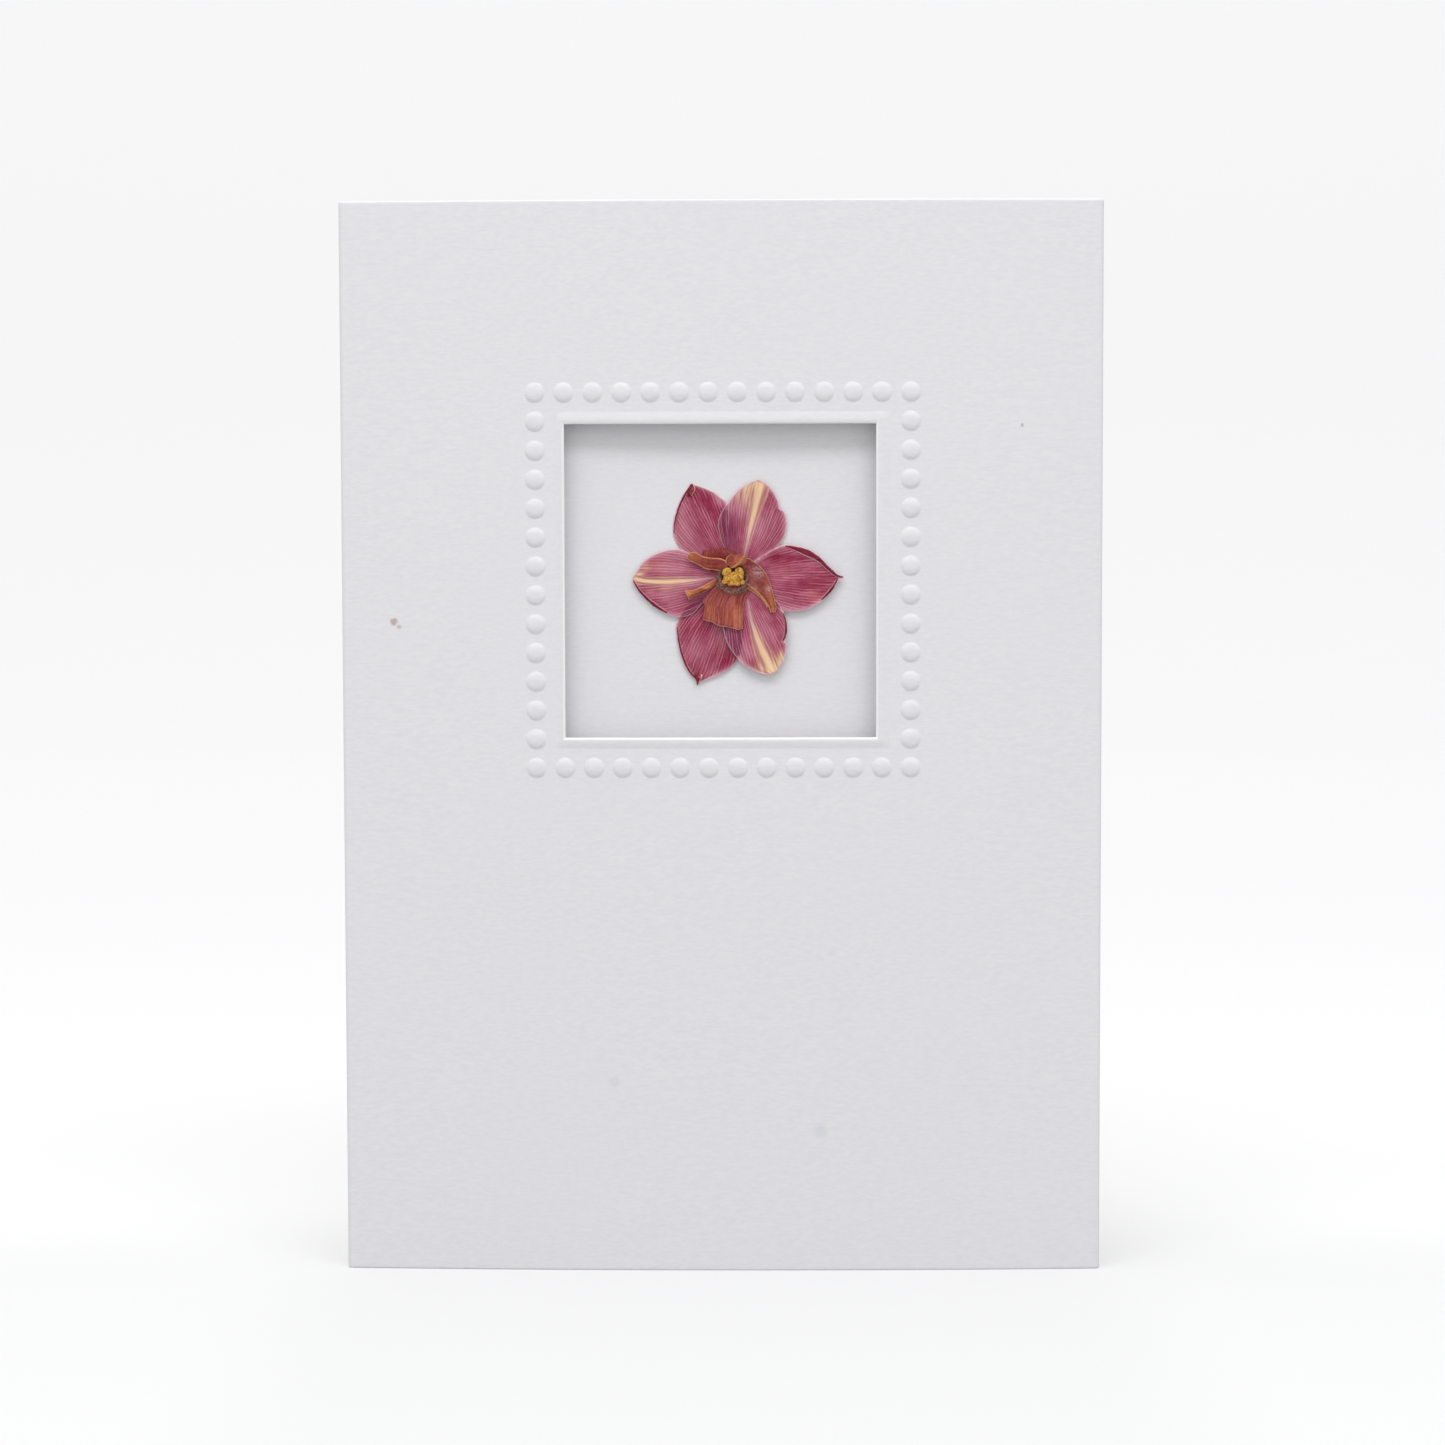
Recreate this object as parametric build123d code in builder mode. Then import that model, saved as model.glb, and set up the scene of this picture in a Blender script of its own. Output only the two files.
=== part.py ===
from build123d import *
import os
from math import asin, atan, cos, degrees, radians, sin

# A greeting card in millimetres: one sheet of white card folded into three panels, standing on its bottom
# edge. The front panel has a square window with a raised mitred frame and a border of embossed dots. The fold
# at -X is the spine and carries the back panel, which opens behind the card. The fold at +X carries the inner
# flap, which lies behind the window and holds a pressed flower. The front faces -Y and up is +Z.

# The sheet
card_width = 105.0
card_height = 148.0
board = 0.4
fold_radius = 0.5  # to the middle of the board
front_bow = 1.4  # how far the front panel bulges forwards
stand_angle = 30.0  # the back panel's opening, from the front panel's chord
back_width = 103.6
flap_setback = 3.0  # the flap's free edge stops this far from the spine
flap_bow = 0.6  # how far the flap sags away from the front panel
flap_lean = 0.2  # degrees that the flap leans towards the front at its free edge

# The raised frame and the border of dots are embossed round one middle
relief_x = 0.24
relief_z = 96.0
frame_width = 46.0
frame_height = 46.3
frame_slope = 1.45  # how wide the frame's sloping band is
frame_rise = 0.3

# The window is die-cut inside the frame, a little to the left of its middle
window_x = -0.13
window_z = 95.93
window_width = 42.8
window_height = 43.1

# The border of embossed dots
dot_pitch = 3.97
dots_per_side = 14
dot_diameter = 2.75
dot_height = 0.35
dent_inset = 0.1  # the dent behind a dot is this much smaller all round

# The form of a low dome, as shares of its width and height
shoulder_width = 0.68
shoulder_level = 0.6
crown_width = 0.25
dome_sides = 10
dent_sides = 6  # fewer behind a dot, where it hardly shows

# The pressed flower
flower_x = 1.65
flower_z = 96.5
petal_thickness = 0.16
layer_gap = 0.03  # between one pressed layer and the next
petal_base_reach = 1.3
petal_base_width = 1.6
glue_diameter = 7.0
glue_height = 0.2
glue_slope = 45.0  # degrees that the dab's edge leans in
trumpet_ring_radius = 2.7
anther_height = 0.45
anther_foot = 0.15
anther_lobe_radius = 0.6

cutter_margin = 0.1  # how far a tool runs past the face that it works on


# The sheet's fold line, seen from above, through the middle of the board. The front panel's chord is on X.
half_chord = card_width / 2 - fold_radius - board / 2
bow_radius = (half_chord**2 + front_bow**2) / (2 * front_bow)
bow_angle = degrees(asin(half_chord / bow_radius))
flap_chord = 2 * half_chord - flap_setback
flap_radius = ((flap_chord / 2) ** 2 + flap_bow**2) / (2 * flap_bow)
flap_angle = degrees(asin(flap_chord / 2 / flap_radius))

with BuildSketch() as folded_profile:
    with BuildLine():
        front_line = ThreePointArc((-half_chord, 0), (0, -front_bow), (half_chord, 0))
        edge_fold = JernArc(
            front_line @ 1,
            front_line % 1,
            fold_radius,
            180 + flap_lean - flap_angle - bow_angle,
        )
        flap_line = JernArc(edge_fold @ 1, edge_fold % 1, flap_radius, 2 * flap_angle)
        spine_fold = JernArc(
            front_line @ 0,
            -(front_line % 0),
            fold_radius,
            -(180 - bow_angle - stand_angle),
        )
        back_line = PolarLine(spine_fold @ 1, back_width, direction=spine_fold % 1)
    trace(line_width=board)

# The model's origin is at the middle of the card's own box, on the surface that it stands on.
profile_box = folded_profile.sketch.bounding_box()
middle_x = (profile_box.min.X + profile_box.max.X) / 2
middle_y = (profile_box.min.Y - dot_height + profile_box.max.Y) / 2
floor_plane = Plane((-middle_x, -middle_y, 0))
bow_axis_y = bow_radius - front_bow  # where the front panel's bow has its upright axis


def outward(distance_along):
    # the front panel's outward direction at a distance along it from its middle
    turn = distance_along / bow_radius
    return Vector(sin(turn), -cos(turn), 0)


def on_front(distance_along, radius, height):
    # a point at a radius from the bow's axis
    return Vector(0, bow_axis_y, height) + outward(distance_along) * radius


def placed(point):
    return floor_plane.from_local_coords(point)


def dot_places():
    # the middle of each dot, as a distance along the front panel and a height, once round the square
    half_side = (dots_per_side - 1) * dot_pitch / 2
    steps = [-half_side + index * dot_pitch for index in range(dots_per_side)]
    for step in steps:
        yield relief_x + step, relief_z + half_side
        yield relief_x + step, relief_z - half_side
    for step in steps[1:-1]:
        yield relief_x - half_side, relief_z + step
        yield relief_x + half_side, relief_z + step


def frame_relief(face_radius):
    # The bevelled block of the raised frame, standing on one face of the bowed front panel. Its profile is
    # turned about the bow's axis and its plan is extruded. The two meet in mitres at the corners.
    foot = face_radius - cutter_margin
    crown = face_radius + frame_rise
    left = relief_x - frame_width / 2
    right = relief_x + frame_width / 2
    low = relief_z - frame_height / 2
    high = relief_z + frame_height / 2
    start = outward(-frame_width)
    bow_axis = Axis(placed(Vector(0, bow_axis_y, 0)), (0, 0, 1))
    with BuildPart() as block:
        with BuildSketch(Plane(bow_axis.position, x_dir=start, z_dir=start.cross(bow_axis.direction))):
            with BuildLine():
                Polyline(
                    (foot, low),
                    (face_radius, low),
                    (crown, low + frame_slope),
                    (crown, high - frame_slope),
                    (face_radius, high),
                    (foot, high),
                    close=True,
                )
            make_face()
        revolve(axis=bow_axis, revolution_arc=degrees(2 * frame_width / bow_radius))
        with BuildSketch(floor_plane.offset(low)):
            with BuildLine():
                Polyline(
                    on_front(right - frame_slope, crown, 0),
                    on_front(right, face_radius, 0),
                    on_front(right, foot, 0),
                )
                ThreePointArc(
                    on_front(right, foot, 0),
                    on_front(relief_x, foot, 0),
                    on_front(left, foot, 0),
                )
                Polyline(
                    on_front(left, foot, 0),
                    on_front(left, face_radius, 0),
                    on_front(left + frame_slope, crown, 0),
                )
                ThreePointArc(
                    on_front(left + frame_slope, crown, 0),
                    on_front(relief_x, crown, 0),
                    on_front(right - frame_slope, crown, 0),
                )
            make_face()
        extrude(amount=high - low, mode=Mode.INTERSECT)
    return block.part


def low_dome(radius, height, foot, sides=dome_sides):
    # A shallow dome in two sloping steps. It is small and there are many, so its round form has a few flat
    # sides. The lower slope starts at a depth of foot, under the surface that the dome stands on.
    shoulder = shoulder_level * height
    low_slope = (1 - shoulder_width) * radius / shoulder
    top_slope = (shoulder_width - crown_width) * radius / (height - shoulder)
    with BuildPart() as dome:
        with BuildSketch(Plane.XY.offset(-foot)):
            RegularPolygon(radius + foot * low_slope, sides, major_radius=False)
        extrude(amount=foot + shoulder, taper=degrees(atan(low_slope)))
        with BuildSketch(Plane.XY.offset(shoulder)):
            RegularPolygon(shoulder_width * radius, sides, major_radius=False)
        extrude(amount=height - shoulder, taper=degrees(atan(top_slope)))
    return dome.part


def dot_planes(face_radius):
    return [
        Plane(placed(on_front(along, face_radius, height)), x_dir=(0, 0, 1), z_dir=outward(along))
        for along, height in dot_places()
    ]


# Each dot is pressed up from behind: a dome on the front, with a slightly smaller dent behind it.
with BuildPart() as folded_card:
    with BuildSketch(floor_plane):
        add(folded_profile.sketch)
    extrude(amount=card_height)
    add(frame_relief(bow_radius + board / 2))
    add(frame_relief(bow_radius - board / 2), mode=Mode.SUBTRACT)
    with Locations(*dot_planes(bow_radius + board / 2)):
        add(low_dome(dot_diameter / 2, dot_height, cutter_margin))
    with Locations(*dot_planes(bow_radius - board / 2)):
        add(
            low_dome(dot_diameter / 2 - dent_inset, dot_height, cutter_margin, dent_sides),
            mode=Mode.SUBTRACT,
        )
    with BuildSketch(Plane(placed(Vector(window_x, 0, window_z)), x_dir=(1, 0, 0), z_dir=(0, -1, 0))):
        Rectangle(window_width, window_height)
    extrude(amount=front_bow + board + frame_rise + cutter_margin, mode=Mode.SUBTRACT)
folded_card.part.label = "folded_card"


# The pressed flower lies on the flap's front face. On its plane X runs right, Y up and Z towards the viewer.
flap_centre = flap_line.arc_center
flap_turn = asin((flower_x - flap_centre.X) / flap_radius)
viewer_way = Vector(-sin(flap_turn), -cos(flap_turn), 0)
flap_face = flap_centre - viewer_way * (flap_radius - board / 2)
flower_plane = Plane(
    placed(Vector(flap_face.X, flap_face.Y, flower_z)),
    x_dir=Vector(0, 0, 1).cross(viewer_way),
    z_dir=viewer_way,
)


def layer_height(layer):
    # how far a pressed layer lies above the flap at the flower's middle
    return glue_height + 2 * layer_gap + layer * (petal_thickness + layer_gap)


# Each petal's direction and reach from the flower's middle, its half widths on either side of that line, and
# the pressed layer that it lies in.
petals = {
    "upper_left": {"angle": 115.1, "reach": 13.9, "left": 5.2, "right": 4.5, "layer": 0},
    "lower_left": {"angle": 251.3, "reach": 15.2, "left": 4.9, "right": 5.3, "layer": 0},
    "upper_right": {"angle": 75.4, "reach": 13.6, "left": 3.8, "right": 5.3, "layer": 1},
    "left": {"angle": 181.0, "reach": 13.9, "left": 5.4, "right": 3.8, "layer": 1},
    "right": {"angle": -0.5, "reach": 15.1, "left": 4.3, "right": 4.7, "layer": 2},
    "lower_right": {"angle": -67.7, "reach": 14.4, "left": 4.5, "right": 4.3, "layer": 3},
}
petal_belly = 0.55  # where a petal is widest, as a share of its reach
base_splay = 40.0  # degrees between a petal's middle line and its edges at the base
tip_splay = 52.0  # the same at the tip


def make_petal(angle, reach, left, right, layer):
    belly = petal_belly * reach
    layer_plane = flower_plane.offset(layer_height(layer))
    with BuildPart() as petal:
        with BuildSketch(Plane(layer_plane.location * Rotation(0, 0, angle))):
            with BuildLine():
                for side, half_width in ((1, left), (-1, right)):
                    Spline(
                        (petal_base_reach, side * petal_base_width / 2),
                        (belly, side * half_width),
                        (reach, 0),
                        tangents=[
                            (cos(radians(base_splay)), side * sin(radians(base_splay))),
                            (1, 0),
                            (cos(radians(tip_splay)), -side * sin(radians(tip_splay))),
                        ],
                    )
                Line(
                    (petal_base_reach, petal_base_width / 2),
                    (petal_base_reach, -petal_base_width / 2),
                )
            make_face()
        extrude(amount=petal_thickness)
    return petal.part


# The trumpet is the flower's cup, torn open and pressed flat. Its strips spread from a ring round the middle.
trumpet_layer = 4
trumpet_strips = {
    "fan": [(-2.2, -0.9), (-4.2, -2.9), (-3.7, -4.4), (-4.2, -6.0), (1.1, -7.3), (1.5, -4.8), (2.2, -1.7)],
    "right": [(1.6, 2.4), (4.4, 0.5), (5.9, -4.6), (5.3, -5.0), (3.9, -2.8), (2.0, -1.4)],
    "top": [(-1.1, 2.1), (-0.4, 2.9), (1.6, 2.9), (1.8, 1.8), (-0.6, 1.6)],
    "web": [(-2.4, 1.2), (-4.0, 3.3), (-1.8, 4.1), (-0.5, 2.9), (-0.3, 2.0)],
    "horn": [(-2.2, 0.9), (-6.4, 2.4), (-6.0, 3.2), (-5.2, 3.3), (-3.6, 2.7), (-1.6, 2.3)],
    "roll": [(-2.3, 0.0), (-6.6, -2.1), (-6.1, -3.1), (-2.3, -1.4)],
}

with BuildPart() as trumpet:
    with BuildSketch(flower_plane.offset(layer_height(trumpet_layer))):
        Circle(trumpet_ring_radius)
        for outline in trumpet_strips.values():
            Polygon(*outline, align=None)
    extrude(amount=petal_thickness)
trumpet.part.label = "trumpet"

# The anthers are a clover of pollen-covered lobes that lies on the trumpet's middle.
anther_lobes = [(-0.95, 0.55), (0.8, 0.65), (-1.1, -0.35), (1.0, -0.5), (0.0, -0.5)]
anther_plane = flower_plane.offset(layer_height(trumpet_layer) + petal_thickness + layer_gap)

with BuildPart() as anthers:
    with Locations(anther_plane.offset(anther_foot)):
        with Locations(*anther_lobes):
            add(low_dome(anther_lobe_radius, anther_height - anther_foot, anther_foot))
anthers.part.label = "anthers"

with BuildPart() as glue_dab:
    with BuildSketch(flower_plane.offset(layer_gap)):
        Circle(glue_diameter / 2)
    extrude(amount=glue_height, taper=glue_slope)
glue_dab.part.label = "glue_dab"

os.makedirs("parts", exist_ok=True)
export_step(folded_card.part, "parts/folded_card.step")
export_step(glue_dab.part, "parts/glue_dab.step")
for name, sizes in petals.items():
    petal = make_petal(**sizes)
    petal.label = "petal_" + name
    export_step(petal, f"parts/{petal.label}.step")
export_step(trumpet.part, "parts/trumpet.step")
export_step(anthers.part, "parts/anthers.step")
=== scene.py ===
# Greeting card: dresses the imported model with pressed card, dried petals, light and camera.
import math
import bpy
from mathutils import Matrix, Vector, noise


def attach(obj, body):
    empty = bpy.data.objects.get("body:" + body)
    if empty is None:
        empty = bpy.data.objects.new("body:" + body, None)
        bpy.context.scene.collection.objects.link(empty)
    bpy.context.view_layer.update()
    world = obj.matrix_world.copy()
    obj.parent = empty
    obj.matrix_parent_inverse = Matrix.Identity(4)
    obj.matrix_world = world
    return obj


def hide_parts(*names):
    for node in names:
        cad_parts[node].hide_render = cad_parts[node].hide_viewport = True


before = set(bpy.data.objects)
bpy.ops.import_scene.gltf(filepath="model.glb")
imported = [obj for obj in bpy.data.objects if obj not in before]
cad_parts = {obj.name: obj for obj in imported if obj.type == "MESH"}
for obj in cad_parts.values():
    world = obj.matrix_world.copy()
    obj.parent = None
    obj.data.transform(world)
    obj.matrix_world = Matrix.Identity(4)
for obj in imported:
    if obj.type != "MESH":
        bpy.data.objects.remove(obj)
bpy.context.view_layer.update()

mm = 0.001
bpy.context.scene.view_settings.view_transform = "Standard"


def paint(red, green, blue):
    # a colour from 0 to 255, as a shader needs it
    def straight(level):
        level /= 255
        return level / 12.92 if level <= 0.04045 else ((level + 0.055) / 1.055) ** 2.4
    return (straight(red), straight(green), straight(blue), 1.0)


class Wire:
    # a socket in a node tree, so that maths on it reads as Python
    def __init__(self, tree, socket=None):
        self.tree = tree
        self.socket = socket

    def node(self, kind, settings=None, sockets=None, out=0):
        # any node, from its type, its settings and the values or wires of its sockets
        made = self.tree.nodes.new(kind)
        for name, value in (settings or {}).items():
            setattr(made, name, value)
        for name, value in (sockets or {}).items():
            if isinstance(value, Wire):
                self.tree.links.new(value.socket, made.inputs[name])
            else:
                made.inputs[name].default_value = value
        return Wire(self.tree, made.outputs[out] if len(made.outputs) else None)

    def sibling(self, out):
        # another output of the same node
        return Wire(self.tree, self.socket.node.outputs[out])

    def maths(self, operation, *values):
        return self.node("ShaderNodeMath", {"operation": operation}, dict(enumerate(values)))

    def __add__(self, other): return self.maths("ADD", self, other)
    def __radd__(self, other): return self.maths("ADD", other, self)
    def __sub__(self, other): return self.maths("SUBTRACT", self, other)
    def __rsub__(self, other): return self.maths("SUBTRACT", other, self)
    def __mul__(self, other): return self.maths("MULTIPLY", self, other)
    def __rmul__(self, other): return self.maths("MULTIPLY", other, self)
    def __truediv__(self, other): return self.maths("DIVIDE", self, other)
    def __abs__(self): return self.maths("ABSOLUTE", self)

    def least(self, other): return self.maths("MINIMUM", self, other)
    def most(self, other): return self.maths("MAXIMUM", self, other)
    def below(self, other): return self.maths("LESS_THAN", self, other)
    def floored(self): return self.maths("FLOOR", self)
    def diagonal(self, other): return self.maths("SQRT", self * self + other * other)

    def held(self):
        return self.most(0.0).least(1.0)

    def eased(self, start, end):
        # runs smoothly from 0 at start to 1 at end
        settings = {"interpolation_type": "SMOOTHSTEP"}
        if start > end:
            return 1 - self.node("ShaderNodeMapRange", settings, {0: self, 1: end, 2: start})
        return self.node("ShaderNodeMapRange", settings, {0: self, 1: start, 2: end})

    def axes(self, wanted="XYZ"):
        parts = self.node("ShaderNodeSeparateXYZ", None, {0: self})
        return [parts.sibling(axis) for axis in wanted]

    def vector(self, x, y, z):
        return self.node("ShaderNodeCombineXYZ", None, {0: x, 1: y, 2: z})

    def blend(self, share, first, second):
        # colours go through Mix
        return self.node("ShaderNodeMix", {"data_type": "RGBA"}, {0: share, 6: first, 7: second}, out=2)

    def attributes(self, names):
        # numbers kept on the piece's own mesh
        return [self.node("ShaderNodeAttribute", {"attribute_name": name}, out=2) for name in names.split()]

    def place(self):
        # Object coordinates
        return self.node("ShaderNodeTexCoord", out=3)

    def cloud(self, vector, scale, detail=3.0, rough=0.5):
        if isinstance(scale, tuple):
            vector, scale = self.node("ShaderNodeMapping", None, {0: vector, 3: scale}), 1.0
        sockets = {"Vector": vector, "Scale": scale, "Detail": detail, "Roughness": rough}
        return self.node("ShaderNodeTexNoise", None, sockets)


def newMaterial(name, **fixed):
    # an empty material with one Principled shader, and a Wire to build the rest with
    material = bpy.data.materials.new(name)
    material.use_nodes = True
    shader = material.node_tree.nodes["Principled BSDF"]
    for socket, value in fixed.items():
        shader.inputs[socket.replace("_", " ")].default_value = value
    return material, Wire(material.node_tree), shader


def feed(wire, shader, socket):
    wire.tree.links.new(wire.socket, shader.inputs[socket])


def painted(skin, *layers):
    # lays colours over a skin one after another, each by its share
    for share, colour in layers:
        skin = skin.blend(share, skin, colour if isinstance(colour, Wire) else paint(*colour))
    return skin


def surfaced(shader, skin, height, strength, distance):
    # gives a shader its colour and its fine bumps
    feed(skin, shader, "Base Color")
    sockets = {"Strength": strength, "Distance": distance, "Height": height}
    feed(height.node("ShaderNodeBump", None, sockets), shader, "Normal")


def shownRays(wire):
    # 1 for rays from the camera, off a glossy face or through something clear, 0 for the rest
    rays = wire.node("ShaderNodeLightPath")
    return (rays + rays.sibling("Is Glossy Ray") + rays.sibling("Is Transmission Ray")).held()


def placed(name, data):
    made = bpy.data.objects.new(name, data)
    bpy.context.scene.collection.objects.link(made)
    return made


def meshOf(name, points, faces):
    mesh = bpy.data.meshes.new(name)
    mesh.from_pydata(points, [], faces)
    return mesh


def smoothShaded(mesh):
    mesh.polygons.foreach_set("use_smooth", [True] * len(mesh.polygons))


# the camera, the light and the backdrop
view = {
    "place": (0.0075, -0.4962, 0.1068), "lens": 85.0,
    "pitch": 3.70, "yaw": -0.90, "roll": -0.14,
}
lamps = {
    "keyPower": 2.8, "keyHeight": 58.0, "keyAside": 0.0, "keyDistance": 0.8, "keyWidth": 1.0, "keyDepth": 0.2,
    "keyTarget": (0.0, -0.026, 0.08),
    "skyLow": 0.62, "skyHigh": 0.98, "beyond": 1.0, "skyFrom": -0.1, "skyTo": 1.0,
}
stage = {
    "halfWidth": 4.0, "front": -5.0, "bendStart": 0.95, "bendRadius": 0.6, "top": 0.85, "bendSteps": 24,
    "floorGlow": 0.35, "besideGlow": 0.03, "behindGlow": 0.455, "wallGlow": 0.5, "topGlow": 0.045,
    # where each glow sets in, and where the paper's tint changes, in metres
    "beside": (0.045, 0.07), "behind": (-0.035, 0.02), "wall": (0.3, 1.0), "high": (0.15, 0.42),
    "tint": (-0.45, 0.35),
}


def makeCamera():
    data = bpy.data.cameras.new("viewer")
    data.lens = view["lens"]
    data.sensor_width = 36.0
    data.clip_start = 0.01
    camera = placed("viewer", data)
    pitch, yaw, roll = (math.radians(view[name]) for name in ("pitch", "yaw", "roll"))
    forward = Vector((math.sin(yaw) * math.cos(pitch), math.cos(yaw) * math.cos(pitch), -math.sin(pitch)))
    camera.matrix_world = forward.to_track_quat("-Z", "Y").to_matrix().to_4x4()
    camera.rotation_euler.rotate_axis("Z", roll)
    camera.location = view["place"]
    bpy.context.scene.camera = camera


def makeLamps():
    data = bpy.data.lights.new("softbox", "AREA")
    data.shape = "RECTANGLE"
    data.size = lamps["keyWidth"]
    data.size_y = lamps["keyDepth"]
    data.energy = lamps["keyPower"]
    lamp = placed("softbox", data)
    height, aside = math.radians(lamps["keyHeight"]), math.radians(lamps["keyAside"])
    way = Vector((math.sin(aside) * math.cos(height), -math.cos(aside) * math.cos(height), math.sin(height)))
    lamp.location = Vector(lamps["keyTarget"]) + way * lamps["keyDistance"]
    lamp.rotation_euler = way.to_track_quat("Z", "Y").to_euler()
    world = bpy.data.worlds.new("room")
    bpy.context.scene.world = world
    world.use_nodes = True
    wire = Wire(world.node_tree)
    z = wire.node("ShaderNodeTexCoord").axes("Z")[0]
    low, high, beyond = ([lamps[name]] * 3 + [1.0] for name in ("skyLow", "skyHigh", "beyond"))
    sky = wire.blend(z.eased(lamps["skyFrom"], lamps["skyTo"]), low, high)
    feed(wire.blend(shownRays(wire), sky, beyond), world.node_tree.nodes["Background"], "Color")


def makeStage():
    # one sheet of backdrop paper: the floor, a bend and an upright part
    line = [(stage["front"], 0.0), (stage["bendStart"], 0.0)]
    for step in range(1, stage["bendSteps"] + 1):
        turn = math.pi / 2 * step / stage["bendSteps"]
        line.append((stage["bendStart"] + stage["bendRadius"] * math.sin(turn),
                     stage["bendRadius"] * (1 - math.cos(turn))))
    line.append((line[-1][0], stage["top"]))
    points = [(side * stage["halfWidth"], y, z) for y, z in line for side in (-1, 1)]
    faces = [(2 * i, 2 * i + 1, 2 * i + 3, 2 * i + 2) for i in range(len(line) - 1)]
    mesh = meshOf("backdrop", points, faces)
    smoothShaded(mesh)
    material, wire, shader = newMaterial("backdropPaper", Roughness=0.9)
    x, y, z = wire.place().axes()
    feed(wire.blend(y.eased(*stage["tint"]), paint(188, 189, 188), paint(188, 188, 190)), shader, "Base Color")
    behind = y.eased(*stage["behind"])
    level = stage["floorGlow"] + stage["besideGlow"] * abs(x).eased(*stage["beside"]) * (1 - behind)
    level = level + (stage["behindGlow"] - stage["floorGlow"]) * behind
    level = level + (stage["wallGlow"] - stage["behindGlow"]) * y.eased(*stage["wall"])
    level = level + stage["topGlow"] * z.eased(*stage["high"])
    glow = wire.node("ShaderNodeEmission", None, {"Strength": shownRays(wire) * level})
    both = wire.node("ShaderNodeAddShader", None, {0: Wire(wire.tree, shader.outputs[0]), 1: glow})
    feed(both, wire.tree.nodes["Material Output"], "Surface")
    mesh.materials.append(material)
    backdrop = placed("backdrop", mesh)


makeCamera()
makeLamps()
makeStage()
print("camera, light and backdrop are in place")


def bakedMesh(source):
    # what the modifiers of an object make of it, as a plain mesh
    mesh = bpy.data.meshes.new_from_object(source.evaluated_get(bpy.context.evaluated_depsgraph_get()))
    bpy.data.objects.remove(source)
    return mesh


def finishPiece(source, name, slot, *nodes):
    # a plain mesh at the origin, which rides on the card and stands for its CAD nodes
    mesh = bakedMesh(source)
    mesh.name = name
    smoothShaded(mesh)
    piece = placed(name, mesh)
    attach(piece, "root")
    if nodes:
        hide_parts(*nodes)
    print(name, len(mesh.polygons), "faces")


def thickened(source, thickness):
    # gives a sheet its thickness, behind its front face
    wall = source.modifiers.new("thickness", "SOLIDIFY")
    wall.thickness = thickness
    wall.offset = -1.0


def throughTree(source, name, inputs, build):
    # puts a geometry tree with named inputs on an object; build makes the nodes and returns the geometry
    tree = bpy.data.node_groups.new(name, "GeometryNodeTree")
    for way in ("INPUT", "OUTPUT"):
        tree.interface.new_socket("Geometry", in_out=way, socket_type="NodeSocketGeometry")
    kinds = {"foldLine": "NodeSocketObject", "material": "NodeSocketMaterial", "seed": "NodeSocketInt"}
    identifiers = {}
    for label in inputs:
        kind = kinds.get(label, "NodeSocketFloat")
        identifiers[label] = tree.interface.new_socket(label, in_out="INPUT", socket_type=kind).identifier
    wire = Wire(tree)
    entry = wire.node("NodeGroupInput")
    given = {label: entry.sibling(label) for label in ("Geometry", *inputs)}
    made = build(wire, given)
    shaded = wire.node("GeometryNodeSetMaterial", None, {"Geometry": made, "Material": given["material"]})
    wire.node("NodeGroupOutput", None, {0: shaded})
    modifier = source.modifiers.new(name, "NODES")
    modifier.node_group = tree
    for label, value in inputs.items():
        modifier[identifiers[label]] = value


# the folded card
card = {
    "width": 105.0 * mm, "height": 148.0 * mm, "board": 0.4 * mm, "foldRadius": 0.5 * mm, "bow": 1.4 * mm,
    "standAngle": 30.0, "backWidth": 103.6 * mm, "flapSetback": 3.0 * mm, "flapBow": 0.6 * mm, "flapLean": 0.2,
    "chordY": -25.478 * mm, "cutSoftness": 0.1 * mm, "edgeRun": 0.2 * mm,
    # steps along the back panel, the spine fold, the front panel, the second fold and the flap
    "foldSteps": (12, 24, 120, 24, 60),
    # even lines of the blank: three runs before the relief, three after it, one below and one above
    "blankSteps": (14, 12, 9, 9, 12, 14, 14, 6),
    # extra lines of the blank close to a cut edge
    "nearEdge": (0.04 * mm, 0.1 * mm, 0.2 * mm, 0.5 * mm),
    # small stains: place, radius and strength, with their colour
    "marks": [((-45.2, 90.4, 0.7, 0.7), (176, 150, 132)), ((-44.5, 89.7, 0.45, 0.6), (186, 164, 148)),
              ((41.3, 117.2, 0.3, 0.6), (150, 142, 140)), ((13.6, 19.6, 1.3, 0.35), (206, 208, 222)),
              ((-15.0, 26.4, 1.1, 0.3), (208, 210, 222))],
}
relief = {
    "x": 0.24 * mm, "z": 96.0 * mm,
    "frameWidth": 46.0 * mm, "frameHeight": 46.3 * mm, "frameSlope": 1.45 * mm, "frameRise": 0.3 * mm,
    "frameCorner": 0.9 * mm, "frameMargin": 0.2 * mm,
    "windowX": -0.13 * mm, "windowZ": 95.93 * mm, "windowWidth": 42.8 * mm, "windowHeight": 43.1 * mm,
    "rollWidth": 0.32 * mm, "rollDepth": 0.24 * mm,
    "pitch": 3.97 * mm, "perSide": 14, "dotRadius": 1.42 * mm, "dotHeight": 0.35 * mm, "dotFullness": 3.4,
    "ringLimit": 1.7 * mm,
    # lines of the blank through a dot, beside the cut and round the frame's outer edge, in millimetres
    "dotRings": (0.4, 0.75, 1.05, 1.28, 1.42, 1.46), "cutRings": (0.0, 0.05, 0.11, 0.2, 0.32),
    "rimRings": (-0.12, -0.03, 0.05, 0.2, 0.45),
}

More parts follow.
